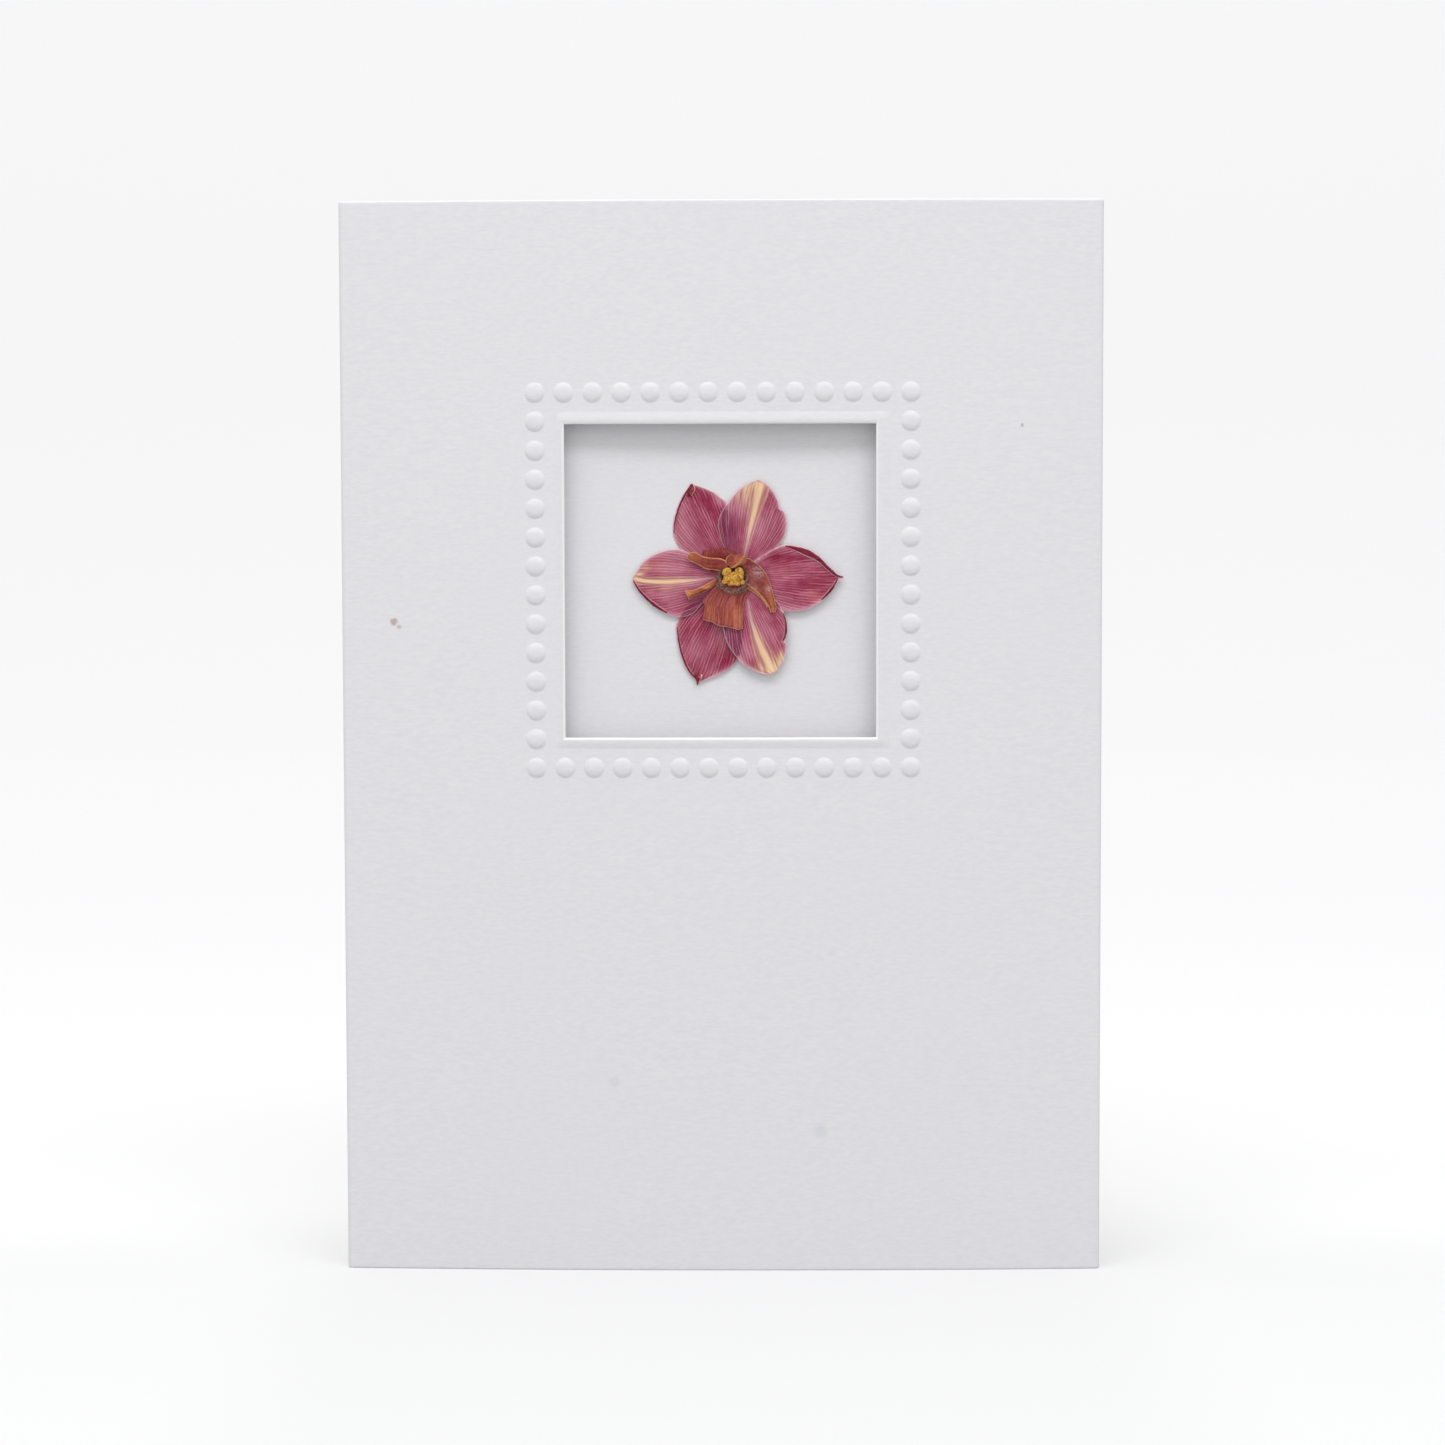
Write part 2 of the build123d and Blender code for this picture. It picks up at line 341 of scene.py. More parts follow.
halfChord = card["width"] / 2 - card["foldRadius"] - card["board"] / 2
bowRadius = (halfChord ** 2 + card["bow"] ** 2) / (2 * card["bow"])
bowAngle = math.asin(halfChord / bowRadius)
flapChord = 2 * halfChord - card["flapSetback"]
flapRadius = ((flapChord / 2) ** 2 + card["flapBow"] ** 2) / (2 * card["flapBow"])
flapAngle = math.asin(flapChord / 2 / flapRadius)
spineTurn = math.pi - bowAngle - math.radians(card["standAngle"])
edgeTurn = math.pi + math.radians(card["flapLean"]) - flapAngle - bowAngle
frontLength = 2 * bowRadius * bowAngle
spineLength = card["foldRadius"] * spineTurn
edgeLength = card["foldRadius"] * edgeTurn
flapLength = 2 * flapRadius * flapAngle
frontStart = card["backWidth"] + spineLength
frontEnd = frontStart + frontLength
frontMiddle = frontStart + frontLength / 2
sheetLength = frontStart + frontLength + edgeLength + flapLength
reliefHalf = relief["perSide"] * relief["pitch"] / 2


def walked(x, y, heading, length, turn, steps):
    # points along an arc that starts at x, y and bends by turn over its length
    points = []
    for step in range(1, steps + 1):
        if turn:
            radius, bend = length / turn, turn * step / steps
            points.append((x + radius * (math.sin(heading + bend) - math.sin(heading)),
                           y - radius * (math.cos(heading + bend) - math.cos(heading))))
        else:
            points.append((x + length * step / steps * math.cos(heading),
                           y + length * step / steps * math.sin(heading)))
    return points, heading + turn


def makeFoldLine():
    # the middle of the board seen from above, from the back panel's free edge to the flap's
    heading = math.radians(card["standAngle"]) + math.pi
    runs = [(card["backWidth"], 0.0), (spineLength, spineTurn), (frontLength, 2 * bowAngle),
            (edgeLength, edgeTurn), (flapLength, 2 * flapAngle)]
    line, starts = [(0.0, 0.0)], []
    for (length, turn), steps in zip(runs, card["foldSteps"]):
        starts.append(line[-1])
        points, heading = walked(*line[-1], heading, length, turn, steps)
        line += points
    # the front panel's start sets where the whole line lies
    shiftX, shiftY = -halfChord - starts[2][0], card["chordY"] - starts[2][1]
    line = [(x + shiftX, y + shiftY) for x, y in line]
    curve = bpy.data.curves.new("foldLine", "CURVE")
    curve.dimensions = "3D"
    spline = curve.splines.new("POLY")
    spline.points.add(len(line) - 1)
    for point, (x, y) in zip(spline.points, line):
        point.co = (x, y, 0.0, 1.0)
    return placed("foldLine", curve), line[-card["foldSteps"][-1]:]


def reliefLines(cutLow, cutHigh, outer):
    # offsets from the relief's middle: plain lines through the cells, and the same lines drawn in to the cut
    pitch = relief["pitch"]
    rings = [ring * mm for ring in relief["dotRings"]]
    inCell = [-ring for ring in reversed(rings)] + [0.0] + rings
    plain, drawn = [], []
    for cell in range(relief["perSide"]):
        middle = -reliefHalf + (cell + 0.5) * pitch
        evenly = [middle + offset for offset in inCell]
        plain += [middle - pitch / 2] + evenly
        drawn.append(middle - pitch / 2)
        if cell in (1, relief["perSide"] - 2):
            sign, cut = (1, cutHigh) if cell > 1 else (-1, -cutLow)
            inner = abs(middle) - pitch / 2
            steps = [inner + 0.6 * (cut - inner)]
            steps += [cut + step * mm for step in relief["cutRings"]]
            steps += [cut + (outer - cut) * share for share in (0.4, 0.7)]
            steps += [outer + step * mm for step in relief["rimRings"]]
            drawn += [sign * step for step in steps][::sign]
        else:
            drawn += evenly
    return plain + [reliefHalf], drawn + [reliefHalf]


def spread(start, end, steps):
    # even lines from just after start up to end
    return [start + (end - start) * step / steps for step in range(1, steps + 1)]


def ruled(way, size, middle, before, after, length):
    # the blank's lines one way, each plain and drawn in to the cut, and the numbers of the two beside the window
    window, half, near = relief["window" + way.upper()], relief["window" + size] / 2, card["nearEdge"]
    low, high = window - half - relief[way], window + half - relief[way]
    lines = [(line, line) for line in (0.0, *near, *before)]
    lines += [(middle + a, middle + b) for a, b in zip(*reliefLines(low, high, relief["frame" + size] / 2))]
    lines += [(line, line) for line in (*after, *(length - line for line in reversed(near[:-1])), length)]
    gap = [index for index, (a, b) in enumerate(lines)
           if min(abs(b - middle - low), abs(b - middle - high)) < 1e-9]
    return lines, gap


def makeBlank():
    # the flat sheet before it is pressed and folded: distance along the sheet on X, height on Z
    near = card["nearEdge"][-1]
    middleX, middleZ = frontMiddle + relief["x"], relief["z"]
    back, spine, left, right, edge, flap, below, above = card["blankSteps"]
    before = spread(near, card["backWidth"], back) + spread(card["backWidth"], frontStart, spine)
    before += spread(frontStart, middleX - reliefHalf, left)[:-1]
    after = spread(middleX + reliefHalf, frontEnd, right) + spread(frontEnd, frontEnd + edgeLength, edge)
    after += spread(frontEnd + edgeLength, sheetLength - near, flap)
    columns, gapX = ruled("x", "Width", middleX, before, after, sheetLength)
    low = spread(near, middleZ - reliefHalf, below)[:-1]
    high = spread(middleZ + reliefHalf, card["height"] - near, above)
    rows, gapZ = ruled("z", "Height", middleZ, low, high, card["height"])
    inner = reliefHalf - relief["pitch"]

    def pull(offset, size):
        # how far the lines are drawn in to the cut: wholly inside the frame, not at all under the dots
        reach = relief["frame" + size] / 2 + relief["frameMargin"]
        return min(max((inner - abs(offset)) / (inner - reach), 0.0), 1.0)

    points = [(plainX + (drawnX - plainX) * pull(drawnZ - middleZ, "Height"), 0.0,
               plainZ + (drawnZ - plainZ) * pull(drawnX - middleX, "Width"))
              for plainX, drawnX in columns for plainZ, drawnZ in rows]
    count = len(rows)
    corners = [i * count + j for i in range(len(columns) - 1) for j in range(count - 1)
               if not (gapX[0] <= i < gapX[1] and gapZ[0] <= j < gapZ[1])]
    return placed("blank", meshOf("blank", points, [(a, a + count, a + count + 1, a + 1) for a in corners]))


def pressAndFold(wire, given):
    # presses the dots and the frame into a flat blank, then folds it along a line
    along, height = wire.node("GeometryNodeInputPosition").axes("XZ")
    a, b = along - given["middleAlong"], height - given["middleHeight"]
    pitch = given["pitch"]

    # the cell that a point lies in, its place in that cell, and there the round grid of a dot
    cellA, cellB = ((way / pitch).floored() + 0.5 for way in (a, b))
    inA, inB = a - cellA * pitch, b - cellB * pitch
    ringCell = abs(abs(cellA).most(abs(cellB)) - given["ringCell"]).below(0.25)
    square = abs(inA).most(abs(inB))
    turned = ringCell * square.below(given["ringLimit"])
    grow = 1 + turned * (square / inA.diagonal(inB).most(1e-7) - 1)
    roundA, roundB = inA * grow, inB * grow

    # a dot is a low dome with steeper sides than a ball's cap
    off = (roundA.diagonal(roundB) / given["dotRadius"]).held()
    dots = (1 - wire.maths("POWER", off, given["dotFullness"])) * given["dotHeight"] * turned

    # the frame slopes up from its rounded outer edge, and the cut round the window is rolled back a little
    insideA = given["frameWidth"] * 0.5 - abs(a)
    insideB = given["frameHeight"] * 0.5 - abs(b)
    corner = given["frameCorner"]
    rounded = corner - (corner - insideA).most(0.0).diagonal((corner - insideB).most(0.0))
    slope = (rounded.least(insideA).least(insideB) / given["frameSlope"]).held()
    cut = (abs(a - given["cutX"]) - given["cutHalfWidth"]).most(abs(b - given["cutZ"]) - given["cutHalfHeight"])
    roll = 1 - (cut / given["rollWidth"]).held()
    frameRise = slope * given["frameRise"] - roll * roll * given["rollDepth"]

    # the outer face droops a little at a cut edge
    edge = height.least(given["sheetHeight"] - height).least(along).least(given["sheetLength"] - along)
    droop = 1 - (edge / given["edgeRun"]).held()
    lift = dots + frameRise + given["board"] * 0.5 - droop * droop * given["cutSoftness"]

    line = wire.node("GeometryNodeObjectInfo", None, {0: given["foldLine"]}, "Geometry")
    length = given["middleAlong"] + cellA * pitch + roundA
    sampled = wire.node("GeometryNodeSampleCurve", {"mode": "LENGTH"}, {"Curves": line, "Length": length}, "Position")
    lineX, lineY = sampled.axes("XY")
    wayX, wayY = sampled.sibling("Tangent").axes("XY")
    spot = wire.vector(lineX + wayY * lift, lineY - wayX * lift, given["middleHeight"] + cellB * pitch + roundB)
    return wire.node("GeometryNodeSetPosition", None, {"Geometry": given["Geometry"], "Position": spot})


def cardMaterial():
    # uncoated white card with a fine horizontal grain, faint fibres and a few small marks
    material, wire, shader = newMaterial("whiteCard", Roughness=0.78, Specular_IOR_Level=0.35)
    place = wire.place()
    x, y, z = place.axes()
    grain = wire.cloud(place, (900.0, 900.0, 2600.0), 4.0, 0.6)
    fibre = wire.cloud(place, (260.0, 260.0, 3400.0), 2.0)
    mottle = wire.cloud(place, (60.0, 60.0, 90.0), 2.0)
    crumbs = wire.cloud(place, 2600.0, 2.0, 0.6)
    front = y.below(card["chordY"] + 0.3 * mm)

    # the cut edges and the card's top edge are painted white: partly the board's whiter core, partly a painted
    # highlight where light catches these edges
    cut = (abs(x - relief["windowX"]) - relief["windowWidth"] / 2).most(
        abs(z - relief["windowZ"]) - relief["windowHeight"] / 2)
    coreAndHighlight = cut.eased(0.34 * mm, 0.2 * mm) * front
    coreAndHighlight = coreAndHighlight.most(z.eased(card["height"] - 0.12 * mm, card["height"] - 0.02 * mm))

    def mark(placeX, placeZ, radius, strength):
        # a small stain on the front panel, with a broken edge
        off = (x - placeX * mm).diagonal(z - placeZ * mm) + (crumbs - 0.5) * (radius * mm)
        return off.eased(radius * mm, radius * mm * 0.35) * strength * front

    skin = painted(
        wire.blend(grain.eased(0.3, 0.7), paint(233, 232, 236), paint(238, 237, 240)),
        (fibre.eased(0.55, 0.75) * 0.35, (228, 227, 232)), (mottle.eased(0.35, 0.7) * 0.25, (236, 234, 238)),
        (coreAndHighlight, (255, 255, 255)), *((mark(*stain), colour) for stain, colour in card["marks"]))
    surfaced(shader, skin, grain * 0.6 + fibre * 0.4, 0.18, 0.00006)
    return material


def makeCard():
    foldLine, flapLine = makeFoldLine()
    blank = makeBlank()
    shared = ("pitch", "ringLimit", "dotRadius", "dotHeight", "dotFullness", "rollWidth", "rollDepth", "frameWidth",
              "frameHeight", "frameSlope", "frameRise", "frameCorner")
    throughTree(blank, "pressAndFold", {
        "foldLine": foldLine, "material": cardMaterial(), "sheetLength": sheetLength, "sheetHeight": card["height"],
        "middleAlong": frontMiddle + relief["x"], "middleHeight": relief["z"],
        "ringCell": relief["perSide"] / 2 - 0.5,
        "cutX": relief["windowX"] - relief["x"], "cutZ": relief["windowZ"] - relief["z"],
        "cutHalfWidth": relief["windowWidth"] / 2, "cutHalfHeight": relief["windowHeight"] / 2,
        **{name: card[name] for name in ("board", "edgeRun", "cutSoftness")},
        **{name: relief[name] for name in shared},
    }, pressAndFold)
    thickened(blank, card["board"])
    finishPiece(blank, "pressedCard", "card", "folded_card")
    bpy.data.objects.remove(foldLine)
    return flapLine


flapLine = makeCard()


# the pressed flower, in millimetres from its middle on the flap
flower = {
    "x": 1.65, "z": 96.5, "glue": 0.26, "layer": 0.19, "lift": 0.28, "lowest": 0.115, "thickness": 0.1,
    "cupThickness": 0.09, "margin": 0.1, "sag": 0.1, "ribs": 0.03, "grid": (72, 40),
    "rim": {"grid": (36, 9), "kind": 1.0, "length": 9.0}, "rimLayer": 0.4,
    # a place this many half widths off a stripe has none of it
    "farOff": 9.0,
}


def flowerFrame():
    # the flap's front face under the flower: its middle, the way to the right and the way to the viewer
    x = flower["x"] * mm
    right, left = min(zip(flapLine, flapLine[1:]), key=lambda pair: abs(pair[0][0] + pair[1][0] - 2 * x))
    along = Vector((right[0] - left[0], right[1] - left[1], 0.0)).normalized()
    viewer = Vector((along.y, -along.x, 0.0))
    share = (x - left[0]) / (right[0] - left[0])
    middle = Vector((x, left[1] + (right[1] - left[1]) * share, flower["z"] * mm))
    return middle + viewer * card["board"] / 2, along, viewer


flowerMiddle, flowerRight, flowerViewer = flowerFrame()


def onFlower(x, y, height):
    # a place on the flower: to the right, up, and off the flap towards the viewer
    return flowerMiddle + (flowerRight * x + Vector((0, 0, 1)) * y + flowerViewer * height) * mm


def curveThrough(points, count):
    # count evenly spaced places along a smooth line through a few points
    ends = [points[0], *points, points[-1]]
    fine = []
    for knots in zip(ends, ends[1:], ends[2:], ends[3:]):
        for step in range(12):
            t = step / 12
            fine.append(tuple(
                0.5 * (2 * q + (r - p) * t + (2 * p - 5 * q + 4 * r - s) * t * t + (3 * q - p - 3 * r + s) * t ** 3)
                for p, q, r, s in zip(*knots)))
    fine.append(tuple(points[-1]))
    passed = [0.0]
    for a, b in zip(fine, fine[1:]):
        passed.append(passed[-1] + math.dist(a, b))
    places, index = [], 0
    for step in range(count):
        want = passed[-1] * step / (count - 1)
        while index < len(fine) - 2 and passed[index + 1] < want:
            index += 1
        span = passed[index + 1] - passed[index]
        share = 0.0 if span < 1e-12 else (want - passed[index]) / span
        places.append(tuple(p + (q - p) * share for p, q in zip(fine[index], fine[index + 1])))
    return places


def insideOutline(outline, x, y):
    inside = False
    for (ax, ay), (bx, by) in zip(outline, outline[1:] + outline[:1]):
        if (ay > y) != (by > y) and x < ax + (bx - ax) * (y - ay) / (by - ay):
            inside = not inside
    return inside


def easedStep(low, high, value):
    share = min(max((value - low) / (high - low), 0.0), 1.0)
    return share * share * (3 - 2 * share)


def bedHeight(x, y):
    # the whole flower lifts a little off the card towards its petal tips, unevenly
    reach = math.hypot(x, y)
    lift = flower["lift"] * easedStep(4.0, 15.0, reach) * (0.25 + 0.75 * easedStep(-3.0, 3.0, 1.0 - y))
    settle = 0.5 * flower["glue"] * easedStep(2.5, 8.0, reach)
    return lift * (1 + 0.35 * noise.noise(Vector((x * 0.13, y * 0.13, 4.0)))) - settle


def patchAt(patches, x, y):
    # the sum of a few soft oval patches: middle, reach sideways and up, strength
    total = 0.0
    for middleX, middleY, reachX, reachY, strength in patches:
        total += strength * math.exp(-((x - middleX) / reachX) ** 2 - ((y - middleY) / reachY) ** 2)
    return min(total, 1.0)


def stripeAt(line, x, y):
    # how far a place lies from a stripe's line, as a share of the stripe's half width there, and how far along it is
    best = (flower["farOff"], 0.0)
    for index, ((ax, ay, aw), (bx, by, bw)) in enumerate(zip(line, line[1:])):
        dx, dy = bx - ax, by - ay
        share = min(max(((x - ax) * dx + (y - ay) * dy) / (dx * dx + dy * dy), 0.0), 1.0)
        offX, offY = x - ax - dx * share, y - ay - dy * share
        side = 1 if dx * offY - dy * offX > 0 else -1
        off = side * math.hypot(offX, offY) / (aw + (bw - aw) * share)
        if abs(off) < abs(best[0]):
            best = (off, (index + share) / (len(line) - 1))
    return best


def gridFaces(rows, columns, first=0):
    corners = [first + row * columns + column for row in range(rows - 1) for column in range(columns - 1)]
    return [(a, a + 1, a + columns + 1, a + columns) for a in corners]


def facingViewer(mesh):
    # turns each face so that its normal points to the viewer, before the sheet gets its thickness
    for face in mesh.polygons:
        if face.normal.dot(flowerViewer) < 0:
            face.flip()


def makeSheet(spec, sheets):
    # Adds one thin curved sheet between two edges to the lists in sheets. Rows run from its root to its end and
    # columns run across it.
    rows, columns = spec.get("grid", flower["grid"])
    sideA, sideB = curveThrough(spec["edgeA"], rows), curveThrough(spec["edgeB"], rows)
    endLine = curveThrough(spec["end"], columns) if "end" in spec else None
    (firstX, firstY), (lastX, lastY) = sideA[-1], sideB[-1]
    base = flower["glue"] + spec["layer"] * flower["layer"]
    seed, ragged = spec.get("seed", 1.0), spec.get("ragged", 0.05)
    rootX, rootY, heading = spec.get("fan", (0.0, 0.0, 90.0))
    rimA, rimB, rimEnd = spec.get("rimsOn", (1.0, 1.0, 1.0))
    sheets["faces"] += gridFaces(rows, columns, len(sheets["points"]))
    for row, ((ax, ay), (bx, by)) in enumerate(zip(sideA, sideB)):
        along = row / (rows - 1)
        width = math.hypot(bx - ax, by - ay)
        for column in range(columns):
            across = 2 * column / (columns - 1) - 1
            # a petal's margin reaches a little past its edge lines
            share = (across * (1 + 2 * spec.get("margin", 0.0) / max(width, 1.0)) + 1) / 2
            x, y = ax + (bx - ax) * share, ay + (by - ay) * share
            if endLine:
                weight = easedStep(0.35, 1.0, along)
                x += (endLine[column][0] - firstX - (lastX - firstX) * share) * weight
                y += (endLine[column][1] - firstY - (lastY - firstY) * share) * weight
            x += ragged * noise.noise(Vector((x * 2.1, y * 2.1, seed)))
            y += ragged * noise.noise(Vector((x * 2.1, y * 2.1, seed + 7)))
            frill = 1 - easedStep(0.0, 0.9, (1 - abs(across)) * width / 2)
            height = base + bedHeight(x, y) + spec["relief"](x, y, along, across)
            height += frill * 0.07 * noise.noise(Vector((x * 1.3, y * 1.3, seed)))
            sheets["points"].append(onFlower(x, y, max(height, flower["lowest"])))
            reach = math.hypot(x - rootX, y - rootY)
            turn = (math.degrees(math.atan2(y - rootY, x - rootX)) - heading + 180) % 360 - 180
            off, stripeAlong = stripeAt(spec["stripe"], x, y) if "stripe" in spec else (flower["farOff"], 0.0)
            values = {
                "along": along, "across": across, "reach": reach, "kind": spec.get("kind", 0.0),
                "edge": min((1 + across) * width / 2 + (1 - rimA), (1 - across) * width / 2 + (1 - rimB),
                            (1 - along) * spec["length"] + (1 - rimEnd)),
                "veins": turn * (1 + 0.35 * (reach / 13) ** 3), "off": off, "stripeAlong": stripeAlong,
                "under": float(any(insideOutline(outline, x, y) for outline in spec.get("over", ()))),
                "flowerX": x, "flowerY": y,
            }
            for name in ("deep", "pale", "warm", "cream", "veil"):
                values[name] = patchAt(spec.get(name, ()), x, y)
            for name, value in values.items():
                sheets["values"].setdefault(name, []).append(value)


def makePressed(name, specs, material, slot, node, thickness):
    sheets = {"points": [], "faces": [], "values": {}}
    for spec in specs:
        makeSheet(spec, sheets)
    mesh = meshOf(name + "Sheet", sheets["points"], sheets["faces"])
    for label, values in sheets["values"].items():
        mesh.attributes.new(label, "FLOAT", "POINT").data.foreach_set("value", values)
    mesh.materials.append(material)
    facingViewer(mesh)
    sheet = placed(name + "Sheet", mesh)
    thickened(sheet, thickness * mm)
    finishPiece(sheet, name, slot, node)


def petalMaterial():
    # dried petal skin: fine pale veins that fan out from the flower's middle, cream stripes on three of them, thin
    # pale edges, dark folded rims, darker where one petal lies over another
    material, wire, shader = newMaterial("driedPetal", Roughness=0.6, Specular_IOR_Level=0.12)
    across, edge, reach, kind, veins, off, stripeAlong, under, atX, atY = wire.attributes(
        "across edge reach kind veins off stripeAlong under flowerX flowerY")
    deep, pale, warm, cream, veil = wire.attributes("deep pale warm cream veil")
    spot = wire.vector(atX, atY, 0.0)
    wander = wire.cloud(spot, 0.45, 2.0)
    blotch = wire.cloud(spot, 0.5, 3.0, 0.6)
    grain = wire.cloud(spot, 4.5, 4.0, 0.65)
    fibre = wire.cloud(wire.vector(veins * 1.1, reach * 0.5, 0.0), 1.0, 4.0, 0.65)
    threads = wire.cloud(wire.vector(veins * 1.7, reach * 0.22, 9.0), 1.0, 4.0, 0.7)
    streaks = wire.cloud(wire.vector(veins * 0.75, reach * 0.12, 5.0), 1.0, 3.0, 0.7)
    track = (veins + (wander - 0.5) * 2.2) * 0.4
    vein = abs(wire.maths("FRACT", track) - 0.5) * 2
    strength = wire.cloud(wire.vector(track.floored() * 3.7, reach * 0.16, 1.0), 1.0, 2.0, 0.6)
    paleLine = vein.eased(0.55, 0.0) * strength.eased(0.4, 0.66)
    darkLine = vein.eased(0.4, 0.95) * (1 - strength * 0.7)

    # two or three soft cream lines side by side
    middle = (1.7 - abs(off) * 1.9).held()
    left = (1 - abs(off + 1.35) * 2.6).held()
    right = (1 - abs(off - 1.3) * 3.2).held()
    haze = (1.9 - abs(off)).held() * 0.26
    stripe = middle.most(left * 0.5).most(right * 0.4).most(haze) * (0.45 + 0.65 * streaks)
    stripeTone = wire.blend(stripeAlong.eased(0.05, 0.5), paint(232, 196, 192), paint(248, 214, 170))

    # thin pale edges, and folded rims with a pale inner line
    faded = edge.eased(0.75, 0.1) * (0.25 + 0.6 * threads) * (1 - under) * (1 - deep * 0.7)
    rim = edge.eased(0.2, 0.03) * (0.6 + 0.6 * grain) * (1 - under * 0.45)
    # on the curled tips the warm spots are partly their colour, partly a painted highlight
    folded = painted(
        wire.blend(fibre.eased(0.3, 0.7), paint(92, 16, 38), paint(150, 46, 72)),
        ((warm * (grain * 1.6 - 0.15)).held(), (214, 124, 104)),
        (across.eased(0.5, 0.8) * (0.5 + 0.6 * grain), (244, 198, 204)))
    skin = painted(
        wire.blend(blotch.eased(0.32, 0.7), paint(166, 68, 98), paint(200, 108, 132)),
        (fibre.eased(0.35, 0.7) * 0.6, (140, 46, 80)),
        ((deep * (0.55 + 0.9 * fibre)).held(), (141, 20, 56)),
        ((warm * (0.4 + 1.1 * fibre)).held(), (212, 116, 110)),
        ((pale * (0.4 + 1.1 * (1 - fibre))).held(), (216, 150, 166)),
        (under.most(veil) * 0.72, (106, 34, 70)),
        (darkLine * 0.6, (112, 20, 52)),
        (threads.eased(0.48, 0.3) * 0.6, (120, 26, 58)),
        (paleLine * 0.48, (236, 168, 186)),
        (threads.eased(0.52, 0.7) * 0.55, (232, 160, 180)),
        (grain.eased(0.5, 0.8) * 0.2, (208, 140, 158)),
        ((cream * streaks.eased(0.36, 0.62) * 1.2).held(), (246, 214, 164)),
        ((stripe * (0.55 + 0.5 * stripeAlong.eased(0.0, 0.4))).held(), stripeTone),
        (faded, (222, 168, 184)), (rim.held(), (242, 208, 212)), (kind, folded))
    surfaced(shader, skin, paleLine * 0.6 + grain * 0.3 + fibre * 0.5, 0.5, 0.00006)
    return material


def petalRelief(seed):
    # a petal's own small waves: long ones along it and fine ones across it
    def relief(x, y, along, across):
        wave = noise.noise(Vector((across * 2.2, along * 2.6, seed)))
        rib = math.sin(across * 14.0 + 2 * noise.noise(Vector((along * 2, seed, 0.0))))
        wave *= flower["sag"] * easedStep(0.15, 0.5, along)
        return wave + flower["ribs"] * rib * easedStep(0.1, 0.4, along)
    return relief


def rolledRelief(arch):
    # a narrow strip that stands up like a rim turned over on itself
    def relief(x, y, along, across):
        swell = math.sin(math.pi * min(max(along, 0.02), 0.98)) ** 0.5
        return arch * swell * (1 - across * across) + 0.05 * noise.noise(Vector((x * 1.7, y * 1.7, 3.0)))
    return relief


